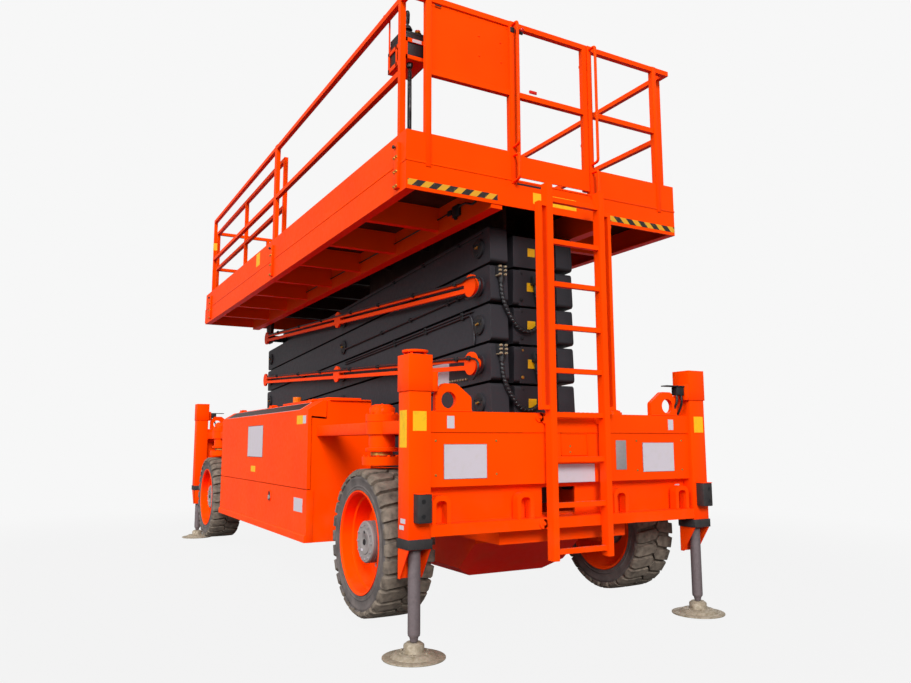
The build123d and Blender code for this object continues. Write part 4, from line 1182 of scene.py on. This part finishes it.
@dataclass
class LadderTrim:
    """Bolted ears and tread holes of the ladder."""

    def build(self) -> None:
        """Add the ears with their bolts, and the raised rings of the holes along each rung."""
        ears, bolts, holes = Shape(), Shape(), Shape()
        for side in (-1, 1):
            for z, s in ((1426, 24), (734.5, 0)):
                ears.rod(at(side * 276, s - 12, z), at(side * 276, s + 0.2, z), 32, 32)
                ears.slab((side * 248, side * 276), (s - 12, s + 0.2), (z - 32, z + 32), 1)
                bolts.bolt(at(side * 276, s - 12, z), (0, -1, 0), 18)
        for rung in range(9):
            z = 555 + 296 * rung
            for x in range(-160, 161, 40):
                holes.turned(at(x, -47, z + 17), (0, 0, 1), [(-0.2, 9), (1.6, 8),
                                                            (1.6, 5), (0.1, 4)], 14)
        ears.piece("ladder_ears", ORANGE, "chassis", "orange_paint")
        bolts.piece("ladder_bolts", ORANGE, "chassis", "orange_paint")
        holes.piece("rung_studs", TRODDEN, "chassis", "orange_paint")


# ---------------------------------------------------------------- cabinets
@dataclass
class Cabinet:
    """Labels, strip, sill, lids, filler and hinge bolts of one side cabinet."""

    side: Side
    outer: float = 1180.0
    span: tuple[float, float] = (2117.0, 5390.0)

    def skin(self, shape: Shape, s: Point, z: Point, stand: float = 1.5) -> Shape:
        """Add a thin plate on the cabinet's side."""
        face = self.side.value * self.outer
        return shape.slab((face - self.side.value * 0.2, face + self.side.value * stand), s, z)

    def build(self) -> None:
        """Dress the cabinet and its cover."""
        key, sign = self.side.name.lower(), self.side.value
        cover = f"cover_{key}"
        near, far = self.span
        self.skin(self.skin(Shape(), (3540, 4130), (1122, 1438)), (2171, 2255), (1428, 1497)).piece(
            f"cover_sign_{key}", WHITE_FILM, cover)
        self.skin(self.skin(Shape(), (3799, 3970), (966, 1026)), (2260, 2425), (1425, 1500)).piece(
            f"cover_label_{key}", YELLOW_FILM, cover)
        self.skin(Shape(), (2220, 2460), (674, 790)).piece(f"cabinet_label_{key}", WHITE_FILM, "chassis")
        edge = Shape()
        for s0, s1, z0, z1 in ((3536, 4134, 1118, 1122), (3536, 4134, 1438, 1442), (3536, 3540, 1118, 1442),
                               (4130, 4134, 1118, 1442)):
            self.skin(edge, (s0, s1), (z0, z1), 2)
        edge.piece(f"sign_frame_{key}", BLACK_FILM, cover)
        # blank strip along the shoulder, on its slope from (1180, 1545) up to (1050, 1625)
        slope = Vector((-130, 0, 80)).normalized()
        out = Vector((80, 0, 130)).normalized()
        for name, finish, low, high, stand, s0, s1 in (
                ("shoulder_outline", WHITE_FILM, 12, 142, 1.2, 2392, 5208),
                ("shoulder_strip", BLACK_FILM, 17, 137, 1.8, 2398, 5202)):
            section = [Vector((self.outer, 0, 1545)) + slope * reach + out * lift
                       for reach, lift in ((low, -0.2), (high, -0.2), (high, stand), (low, stand))]
            Shape().prism([at(sign * place.x, s0, place.z) for place in section], (0, s1 - s0, 0)).piece(
                f"{name}_{key}", finish, cover)
        sill = self.skin(Shape(), (near, far), (434, 486), 14)
        sill.prism([at(sign * self.outer, near, 486), at(sign * (self.outer + 14), near, 486),
                    at(sign * self.outer, near, 500)], (0, far - near, 0))
        sill.slab((sign * 1120, sign * 1178), (near - 6, near), (434, 862), 2)
        sill.piece(f"cabinet_sill_{key}", ORANGE, "chassis", "orange_paint")
        lids = Shape().slab((sign * 612, sign * 990), (near - 24, far), (1625.5, 1638), 2)
        lids.slab((sign * 640, sign * 960), (near + 140, near + 1500), (1638, 1662), 4)
        lids.piece(f"cabinet_lid_{key}", ORANGE, "chassis", "orange_paint")
        cup = Shape().turned(at(sign * self.outer, 3237, 757), (sign, 0, 0), [
            (-0.2, 54), (4, 54), (5, 51), (5, 47), (0.4, 46)], 36)
        cup.piece(f"filler_rim_{key}", ORANGE, "chassis", "orange_paint")
        # painted shade: a thin dark disc in the filler rim stands for the shade down the well
        Shape().turned(at(sign * self.outer, 3237, 757), (sign, 0, 0), [
            (0.2, 46), (0.8, 45), (0.8, 1)], 36).piece(
                f"filler_well_{key}", BLACK_FILM, "chassis", "dark_steel")
        Shape().turned(at(sign * self.outer, 3237, 742), (sign, 0, 0), [
            (0.4, 24), (10, 24), (13, 20), (13, 8), (9, 6)],
            28).piece(f"filler_cap_{key}", IRON, "chassis", "grey_paint")
        hinges = Shape()
        for s in (near + 350, (near + far) / 2, far - 350):
            for along in (-30, 30):
                hinges.bolt(at(sign * 985, s + along, 1625), (0, 0, 1), 15)
        hinges.piece(f"hinge_bolts_{key}", ZINC, "chassis")


@dataclass
class Beacon:
    """Base and ribs of the amber beacon on the left cabinet."""

    def build(self) -> None:
        """Add the dark base and the lens's ribs."""
        centre = at(-720, 3900, 1625)
        Shape().turned(centre, (0, 0, 1), [(0, 62), (10, 62), (14, 57), (31, 57),
                                           (33, 54), (33, 44)], 40).piece(
            "beacon_base", ABS_BLACK, "chassis", "black_plastic")
        ribs = Shape()
        for step in range(6):
            height = 48 + 14 * step
            ribs.turned(centre, (0, 0, 1), [(height, 44), (height + 2, 47), (height + 6, 47),
                                            (height + 8, 44)], 40, closed=True)
        ribs.piece("beacon_ribs", AMBER, "chassis", "amber_lens")


# ---------------------------------------------------------------- scissor stack
@dataclass
class Stack:
    """Pins, pipes, plates and fittings of the scissor arms."""

    lowest: float = 965.0
    pitch: float = 290.0
    span: float = 5590.0
    near: float = 620.0
    face: float = 374.0
    disc: float = 388.3
    carrier: float = 459.0

    def pin(self, level: float) -> float:
        """Height of a pin, in millimetres."""
        return self.lowest + level * self.pitch

    def on_arm(self, outer: bool, level: int, x: float, s: float, offset: float) -> Vector:
        """Point on an arm: across, along, and above its centreline, in millimetres."""
        first, last = (level, level - 1) if outer else (level - 1, level)
        rise = (self.pin(last) - self.pin(first)) / self.span
        return at(x, s, self.pin(first) + rise * (s - self.near) + offset)

    def pins(self) -> None:
        """Cap each pin's disc in black, with its bolts and brass grease elbow."""
        for level in range(1, 7):
            body = f"inner_arm_{level}"
            caps, elbows = Shape(), Shape()
            for share in (0, 0.5, 1):
                for side in (-1, 1):
                    carried = level in (4, 6) and side < 0
                    if carried or (level, share) in ((1, 0), (6, 1)):
                        continue
                    self.cap(caps, elbows, self.near + self.span * share, self.pin(level - 1 + share), side)
            caps.piece(f"pin_caps_{level}", BLACK_STEEL, body, "dark_steel")
            elbows.piece(f"grease_elbows_{level}", BRASS, body)
        caps, elbows = Shape(), Shape()
        for side in (-1, 1):
            self.cap(caps, elbows, self.near, self.pin(6), side)
        caps.piece("pin_caps_top", BLACK_STEEL, "outer_arm_6", "dark_steel")
        elbows.piece("grease_elbows_top", BRASS, "outer_arm_6")

    def cap(self, caps: Shape, elbows: Shape, s: float, z: float, side: int) -> None:
        """Add one pin's cap, bolts and grease elbow, on the disc at that side."""
        centre, out = at(side * self.disc, s, z), Vector((side, 0, 0))
        caps.turned(centre, out, [(-1, 74), (2, 74), (3.5, 71), (3.5, 40),
                                  (1.5, 38), (1.5, 22), (4, 20)], 40)
        for step in range(3):
            turn = math.tau * (step + 0.25) / 3
            caps.bolt(centre + (out * 3 + Vector((0, math.cos(turn), math.sin(turn))) * 55) * MM, out, 14)
        elbows.rod(centre, centre + out * 22 * MM, 8, 12)
        bend = centre + out * 16 * MM
        elbows.rod(bend, bend + Vector((0, -26, 6)) * MM, 6.5, 12)

    def line(self, name: str, outer: bool, level: int, x: float, offset: float, s: Point, radius: float,
             clamps: Sequence[float], hook: Sequence[Point] = (), finish: Finish = SLATE) -> None:
        """Clamp a pipe or a hose along an arm.

        Args:
            name: the pipe's name.
            outer: True for an outer arm.
            level: the arm's number.
            x: across, of the face that it is clamped to.
            offset: height over the arm's centreline.
            s: its two ends along the machine.
            radius: the pipe's radius in millimetres.
            clamps: places of its clamps along the machine.
            hook: points before its near end, along and up, that it drops through.
            finish: its finish.
        """
        body = f"{'outer' if outer else 'inner'}_arm_{level}"
        reach = x - radius - 2
        middle = [self.on_arm(outer, level, reach, place, offset)
                  for place in (s[0], s[0] + 60, s[1] - 60, s[1])]
        points = [at(reach, along, up) for along, up in hook] + middle
        hose(name, points, radius, finish, body)
        blocks = Shape()
        for place in clamps:
            spot = self.on_arm(outer, level, x, place, offset)
            depth, lift = 2 * radius + 7, radius + 9
            blocks.box(spot + Vector((-depth, -16, -lift)) * MM, spot + Vector((0.5, 16, lift)) * MM, 3)
            blocks.bolt(spot + Vector((-depth, 0, 0)) * MM, (-1, 0, 0), 11)
        blocks.piece(f"{name}_clamps", BLACK_STEEL, body, "dark_steel")

    def pipes(self) -> None:
        """Clamp the pipes to the left arms and the hoses to the carriers."""
        face = -self.face
        self.line("arm_pipe_5", True, 5, face, -28, (715, 3340), 9, (924, 1091, 1774, 2393))
        self.line("arm_pipe_4a", True, 4, face, 98, (722, 3340), 8, (856, 1477, 2093),
                  ((690, 1982), (668, 2024)))
        self.line("arm_pipe_4b", True, 4, face, 120, (700, 3340), 8, (856, 1477, 2093))
        self.line("arm_pipe_6", True, 6, face, 106, (560, 3340), 6, (921, 1535, 2136))
        for name, level, clamps, hook in (
                ("carrier_line_upper", 6, (829, 1557, 2300, 3000, 3900, 4700, 5600),
                 ((662, 2324), (560, 2310), (470, 2345), (446, 2410), (500, 2462), (639, 2476))),
                ("carrier_line_lower", 4, (624, 810, 1557, 2300, 3000, 3900, 4700, 5600),
                 ((562, 1713), (520, 1740), (478, 1790), (500, 1850), (590, 1872)))):
            self.line(name, False, level, -self.carrier, 38, (720, 6050), 8, clamps, hook, HOSE)

    def plates(self) -> None:
        """Stick the blank labels on, and fit the zinc connectors and the bolts of the arms' ends."""
        Shape().slab((-376, -373.8), (1092, 1382), (1716, 1886)).piece("arm_plate", WHITE_FILM, "outer_arm_3")
        row = Shape()
        for step in range(7):
            row.rod(at(-374, 806 + 41 * step, 1735), at(-390, 806 + 41 * step, 1735), 9, 6)
        for level, lift in ((3, 0), (5, 580)):
            fittings = row if level == 3 else Shape()
            for x in (-321, -277):
                for z in (1956, 1928, 1898):
                    fittings.rod(at(x, 466, z + lift), at(x, 410, z + lift), 10, 6)
                    fittings.rod(at(x, 410, z + lift), at(x, 400, z + lift), 7, 12)
            fittings.piece(f"arm_connectors_{level}", ZINC, f"outer_arm_{level}")
        top = Shape().slab((-40, 24), (462.2, 466), (2652, 2716))
        top.piece("arm_label_top", YELLOW_FILM, "outer_arm_6")
        for level in (3, 4, 5, 6):
            z = self.pin(level - 1)
            label = Shape().slab((-52, 18), (462.2, 466), (z - 32, z + 34))
            label.piece(f"arm_label_{level}", YELLOW_FILM, f"inner_arm_{level}")
            studs = Shape()
            for x, up in ((-100, 100), (100, 100), (-100, -100), (100, -100), (70, 92), (74, 56), (70, 20)):
                studs.bolt(at(x, 466, z + up), (0, -1, 0), 15)
            studs.piece(f"arm_end_bolts_{level}", BRASS if level == 4 else BLACK_STEEL, f"inner_arm_{level}")

    def build(self) -> None:
        """Dress the whole stack."""
        self.pins()
        self.pipes()
        self.plates()


# ---------------------------------------------------------------- platform
@dataclass
class Deck:
    """Tape, labels, edge line, sockets and lamp of the deck."""

    face: float = 171.0
    half: float = 1200.0
    socket_places: tuple[float, ...] = (290.0, 3300.0, 6290.0)

    def build(self) -> None:
        """Dress the fascia, the edges and the side sockets."""
        tape = Shape().slab((-1187, -492), (169.4, 171.2), (2934, 2977))
        tape.slab((519, 1196), (169.4, 171.2), (2934, 2977))
        tape.piece("fascia_tape", TAPE, "platform")
        yellow = Shape().slab((-190, 200), (169, 171.2), (2960, 3040))
        yellow.slab((-1201.5, -1199.8), (3810, 3950), (3162, 3299))
        for side in (-1, 1):
            yellow.slab((side * 1201.6, side * 1158.4), (6268.4, 6311.6), (3883, 3983))
        yellow.piece("platform_labels", YELLOW_FILM, "platform")
        # painted shade: a thin dark sheet stands for the shade in a slot of the fascia
        Shape().slab((-325, -110), (169.5, 171.2), (3078, 3092)).piece("fascia_slot", BLACK_STEEL, "platform")
        steel, bolts, knobs = Shape(), Shape(), Shape()
        # rolled edge of the deck, between the channel and the toe boards
        steel.slab((-1203, 1203), (167, 171.2), (3099, 3113), 1)
        for side in (-1, 1):
            steel.slab((side * 1199.8, side * 1203), (167, 6650), (3099, 3113), 1)
            for s in self.socket_places:
                steel.slab((side * 1199.8, side * 1222), (s - 30, s + 30), (2935, 3250), 3)
                knobs.rod(at(side * 1222, s, 3220), at(side * 1234, s, 3220), 7, 14)
                knobs.turned(at(side * 1234, s, 3220), (side, 0, 0), [(-2, 9), (0, 13), (8, 13),
                                                                    (11, 9)], 24)
                for along in (-18, 18):
                    for z in (2950, 3050, 3150):
                        bolts.bolt(at(side * 1222, s + along, z), (side, 0, 0), 14)
        for x in (-1035, -355, 360, 1035):
            steel.slab((x - 20, x + 20), (165, 171.2), (3080, 4310), 1.5)
        steel.piece("deck_steelwork", ORANGE, "platform", "orange_paint")
        bolts.piece("socket_bolts", BRASS, "platform")
        knobs.piece("socket_knobs", ABS_BLACK, "platform", "black_plastic")
        lamp = Shape().slab((-566, -540), (600, 700), (2935, 3025), 6)
        lamp.rod(at(-560, 650, 2935), at(-560, 650, 2915), 14, 16)
        lamp.slab((-556, -540), (735, 790), (2975, 3015), 4)
        lamp.piece("deck_valve", BLACK_STEEL, "platform", "dark_steel")
        hose("deck_valve_hose", [at(-556, 600, 3000), at(-556, 540, 3010), at(-556, 470, 2990),
                                 at(-556, 400, 2960), at(-552, 340, 2990), at(-548, 320, 3060)],
             8, JACKET, "platform")
        hose("deck_valve_pipe", [at(-552, 790, 2995), at(-552, 900, 2990), at(-552, 2400, 2990),
                                 at(-552, 4300, 2990)], 6, JACKET, "platform")


@dataclass
class Rails:
    """Grab handles, gate furniture and rivets of the guard rails."""

    tube: float = 11.0

    def grab(self, name: str, x: float, low: float, high: float, body: str) -> None:
        """Bend one upright grab handle in front of a post."""
        points = [at(x, 171, low), at(x, 128, low), at(x, 96, low + 8), at(x, 96, low + 50),
                  at(x, 96, high - 50), at(x, 96, high - 8), at(x, 128, high), at(x, 171, high)]
        hose(name, points, self.tube, ORANGE, body)

    def build(self) -> None:
        """Fit the handles, latch, knob, rivets and tube caps."""
        for x, key in ((-355, "left"), (360, "right")):
            self.grab(f"grab_upper_{key}", x, 3350, 4280, "platform")
            self.grab(f"grab_lower_{key}", x, 3094, 3285, "platform")
        rivets = Shape()
        for x, z in ((-629, 4128), (-447, 4126), (-626, 3980), (-442, 3977)):
            rivets.turned(at(x, 183, z), (0, -1, 0), [(-1, 9), (2, 8), (4, 4)], 18)
        for x in (-1000, -700, -390):
            for z in (3780, 4250):
                rivets.turned(at(x, 183, z), (0, -1, 0), [(-1, 7), (2, 6), (3, 3)], 16)
        rivets.piece("panel_rivets", ORANGE, "platform", "orange_paint")
        latch = Shape().slab((-372, -338), (160, 172), (4222, 4262), 3)
        latch.piece("gate_latch_keeper", BLACK_STEEL, "platform", "dark_steel")
        # painted shade: a thin dark sheet stands for the shade in a slot of the rail
        Shape().slab((-987, -937), (169, 171.3), (4248, 4258)).piece("rail_slot", BLACK_STEEL, "platform")
        bolt = Shape().slab((-326, -262), (160, 172), (4228, 4256), 3)
        bolt.rod(at(-292, 160, 4242), at(-292, 132, 4242), 6, 14)
        bolt.piece("gate_latch", BLACK_STEEL, "gate", "dark_steel")
        Shape().turned(at(-292, 132, 4242), (0, -1, 0), [(-4, 8), (0, 13), (10, 14), (14, 9)],
                       24).piece("gate_knob", ABS_RED, "gate")
        Shape().slab((-212, -146), (158, 171.2), (3788, 3812), 5).piece("gate_catch", ABS_RED, "gate")
        caps = Shape()
        for side in (-1, 1):
            for s in (290, 6290):
                caps.slab((side * 1160, side * 1200), (s - 20, s + 20), (4308, 4313), 2)
        caps.piece("tube_caps", ORANGE, "platform", "orange_paint")


@dataclass
class Controls:
    """Platform control box in its open basket."""

    x: tuple[float, float] = (-1155.0, -975.0)
    s: tuple[float, float] = (300.0, 580.0)
    z: tuple[float, float] = (3880.0, 4040.0)
    wall: float = 8.0

    def basket(self) -> None:
        """Weld the basket from a floor, a rim, corner bars and its two hooks."""
        (x0, x1), (s0, s1), (z0, z1), w = self.x, self.s, self.z, self.wall
        steel = Shape().slab((x0, x1), (s0, s1), (z0, z0 + w), 2)
        for low, high in ((z0, z0 + 34), (z1 - 30, z1)):
            steel.slab((x0, x1), (s0, s0 + w), (low, high), 1.5).slab((x0, x1), (s1 - w, s1), (low, high), 1.5)
            steel.slab((x0, x0 + w), (s0, s1), (low, high), 1.5).slab((x1 - w, x1), (s0, s1), (low, high), 1.5)
        for s in (s0, (s0 + s1) / 2 - 12, s1 - 24):
            for x in (x0, x1 - w):
                steel.slab((x, x + w), (s, s + 24), (z0, z1), 1.5)
        for x in (x0, x1 - 24):
            steel.slab((x, x + 24), (s0, s0 + w), (z0, z1), 1.5).slab((x, x + 24), (s1 - w, s1), (z0, z1), 1.5)
        for s in (s0 + 10, s1 - 30):
            steel.slab((x0, x0 + 6), (s, s + 20), (z1, 4316), 1)
            steel.slab((-1200, x0 + 6), (s, s + 20), (4310, 4316), 1)
        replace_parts(steel.piece("basket_frame", ORANGE, "platform", "orange_paint"), "control_basket")
        Shape().slab((-1096, -1026), (298, 300.2), (4012, 4036)).piece("control_label", WHITE_FILM, "platform")

    def box(self) -> None:
        """Mould the box, with its sloping fascia, boot, lever and buttons."""
        (x0, x1), (s0, s1), w = self.x, self.s, self.wall
        left, right, near, far = x0 + w + 1, x1 - w - 1, s0 + w + 1, s1 - w - 1
        case = Shape().slab((left, right), (near, far), (3889, 4085), 9)
        case.prism([at(left + 4, near + 6, 4080), at(left + 4, far - 6, 4080), at(left + 4, far - 6, 4130),
                    at(left + 4, near + 60, 4130), at(left + 4, near + 6, 4098)], (right - left - 8, 0, 0))
        case.slab((left - 1, right + 1), (near - 1, far + 1), (4076, 4086), 2)
        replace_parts(case.piece("control_case", ABS_BLACK, "platform", "black_plastic", soft=3), "control_box")
        boot = Shape().turned(at(-1105, 360, 4126), (0, 0, 1), (
            (0, 35), (6, 35), (8, 29), (13, 31), (16, 25), (21, 27), (24, 20), (29, 22), (33, 15)), 36)
        boot.piece("lever_boot", NITRILE, "platform", "black_rubber")
        lever = Shape().turned(at(-1105, 360, 4150), (0, 0, 1), (
            (0, 9), (24, 9), (30, 14), (60, 16), (96, 17), (112, 15), (122, 9), (124.5, 2)), 32)
        lever.slab((-1110, -1100), (338, 346), (4196, 4240), 2)
        lever.piece("lever_grip", ABS_BLACK, "platform", "black_plastic")
        stop = Shape().turned(at(-1020, 372, 4129), (0, 0, 1), (
            (0, 12), (12, 12), (13, 20), (20, 20), (24, 15), (25, 2)), 32)
        stop.piece("stop_button", ABS_RED, "platform")
        ring = Shape().turned(at(-1020, 372, 4129), (0, 0, 1), [(0, 27), (2.5, 26), (2.5, 14)], 32)
        ring.piece("stop_collar", YELLOW_FILM, "platform")
        keys = Shape()
        for s in (440, 480, 520):
            for x in (-1120, -1065, -1010):
                keys.turned(at(x, s, 4129), (0, 0, 1), [(0, 11), (5, 11), (7, 8)], 20)
        keys.piece("switch_row", ALUMINIUM, "platform")
        screws = Shape()
        for s in (near + 14, far - 14):
            for z in (3920, 4060):
                screws.rod(at(x0 + 2, s, z), at(left + 1, s, z), 5, 12)
        screws.piece("case_screws", ZINC, "platform")
        nuts = Shape()
        for z0, z1, r in ((3110, 3122, 33), (3122, 3150, 27), (3150, 3163, 20), (3846, 3858, 18),
                          (3858, 3872, 24)):
            nuts.rod(at(-1090, 352, z0), at(-1090, 352, z1), r, 24 if r in (33, 20, 18) else 8)
        nuts.piece("socket_nuts", ABS_BLACK, "platform", "black_plastic")

    def build(self) -> None:
        """Build the basket and what stands in it."""
        self.basket()
        self.box()


DRESSINGS = (EndWall(End.NEAR), EndWall(End.FAR), Columns(), Axle(End.NEAR), Axle(End.FAR), LadderTrim(),
             Cabinet(Side.LEFT), Cabinet(Side.RIGHT), Beacon(), Stack(), Deck(), Rails(), Controls())


# ---------------------------------------------------------------- studio
@dataclass
class Studio:
    """Camera, floor and light."""

    eye: tuple[float, float, float] = (-3.2314, -7.5156, 1.2610)
    yaw: float = 29.32
    pitch: float = 7.66
    roll: float = -0.167
    lens: float = 29.69
    pale: str = "#F7F7F7"
    floor_radius: float = 60.0
    floor_glow: float = 0.95
    sky: float = 0.34
    # direction towards each lamp, strength, apparent size in degrees
    lamps: tuple = (("key", (-0.35, -0.9, 0.5), 2.9, 22), ("fill", (-0.9, -0.15, 0.45), 2.1, 40),
                    ("back", (0.6, 0.8, 0.7), 0.6, 40))

    def camera(self) -> None:
        """Stand the camera at eye height in front of the ladder end, to the left."""
        data = bpy.data.cameras.new("camera")
        data.lens = self.lens
        data.sensor_width = 36.0
        data.clip_end = 500.0
        made = add_object("camera", data)
        yaw, pitch = math.radians(self.yaw), math.radians(self.pitch)
        forward = Vector((math.sin(yaw) * math.cos(pitch), math.cos(yaw) * math.cos(pitch), math.sin(pitch)))
        turn = forward.to_track_quat("-Z", "Y").to_matrix().to_4x4()
        roll = Matrix.Rotation(math.radians(self.roll), 4, "Z")
        made.matrix_world = Matrix.Translation(self.eye) @ turn @ roll
        bpy.context.scene.camera = made

    def floor(self) -> None:
        """Lay a pale floor that keeps the soft shadow and fades into the backdrop."""
        shape = bmesh.new()
        bmesh.ops.create_circle(shape, cap_ends=True, segments=64, radius=self.floor_radius)
        data = bpy.data.meshes.new("floor")
        shape.to_mesh(data)
        shape.free()
        made = add_object("floor", data)
        paint = bpy.data.materials.new("painted_concrete_pale")
        paint.use_nodes = True
        tree = paint.node_tree
        tree.nodes.clear()
        lit = add_node(tree, "BsdfDiffuse", {"Color": linear("#858585")})
        glow = add_node(tree, "Emission", {"Color": linear(self.pale), "Strength": 1.0})
        place = add_node(tree, "TexCoord").outputs["Object"]
        reach = add_node(tree, "VectorMath", {"operation": "LENGTH"}, {0: place}).outputs["Value"]
        fading = {"From Min": 4.0, "From Max": 9.0, "To Min": self.floor_glow,
                  "interpolation_type": "SMOOTHSTEP"}
        fade = add_node(tree, "MapRange", fading, {"Value": reach}).outputs["Result"]
        seen = add_node(tree, "LightPath").outputs["Is Camera Ray"]
        share = add_node(tree, "Math", {"operation": "MULTIPLY"}, {0: fade, 1: seen}).outputs["Value"]
        mixed = add_node(tree, "MixShader", links={0: share, 1: lit.outputs[0], 2: glow.outputs[0]})
        add_node(tree, "OutputMaterial", links={"Surface": mixed.outputs[0]})
        data.materials.append(paint)

    def light(self) -> None:
        """Light the machine evenly, with a soft key from the front left."""
        world = bpy.data.worlds.new("studio")
        bpy.context.scene.world = world
        world.use_nodes = True
        tree = world.node_tree
        tree.nodes.clear()
        sky = add_node(tree, "Background", {"Color": (1.0, 1.0, 1.0, 1.0), "Strength": self.sky})
        drop = add_node(tree, "Background", {"Color": linear(self.pale), "Strength": 1.0})
        rays = add_node(tree, "LightPath")
        seen = add_node(tree, "Math", {"operation": "MAXIMUM"},
                        {0: rays.outputs["Is Camera Ray"], 1: rays.outputs["Is Transmission Ray"]})
        mixed = add_node(tree, "MixShader",
                         links={0: seen.outputs["Value"], 1: sky.outputs[0], 2: drop.outputs[0]})
        add_node(tree, "OutputWorld", links={"Surface": mixed.outputs[0]})
        for name, towards, strength, angle in self.lamps:
            data = bpy.data.lights.new(name, "SUN")
            data.energy = strength
            data.angle = math.radians(angle)
            add_object(name, data).rotation_euler = Vector(towards).to_track_quat("Z", "Y").to_euler()

    def build(self) -> None:
        """Set up the camera, floor and light."""
        self.camera()
        self.floor()
        self.light()
        bpy.context.scene.view_settings.view_transform = "Standard"


def main() -> None:
    """Load the frame, dress it and set the studio."""
    logging.basicConfig(level=logging.INFO, format="%(name)s %(message)s")
    for leftover in list(bpy.data.objects):
        bpy.data.objects.remove(leftover)
    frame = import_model()
    Studio().build()
    Paintwork().apply(frame["nodes"])
    for dressing in (*CORDS, *(WheelSet(end, side) for end in End for side in Side), *DRESSINGS):
        dressing.build()


if __name__ == "__main__":
    main()
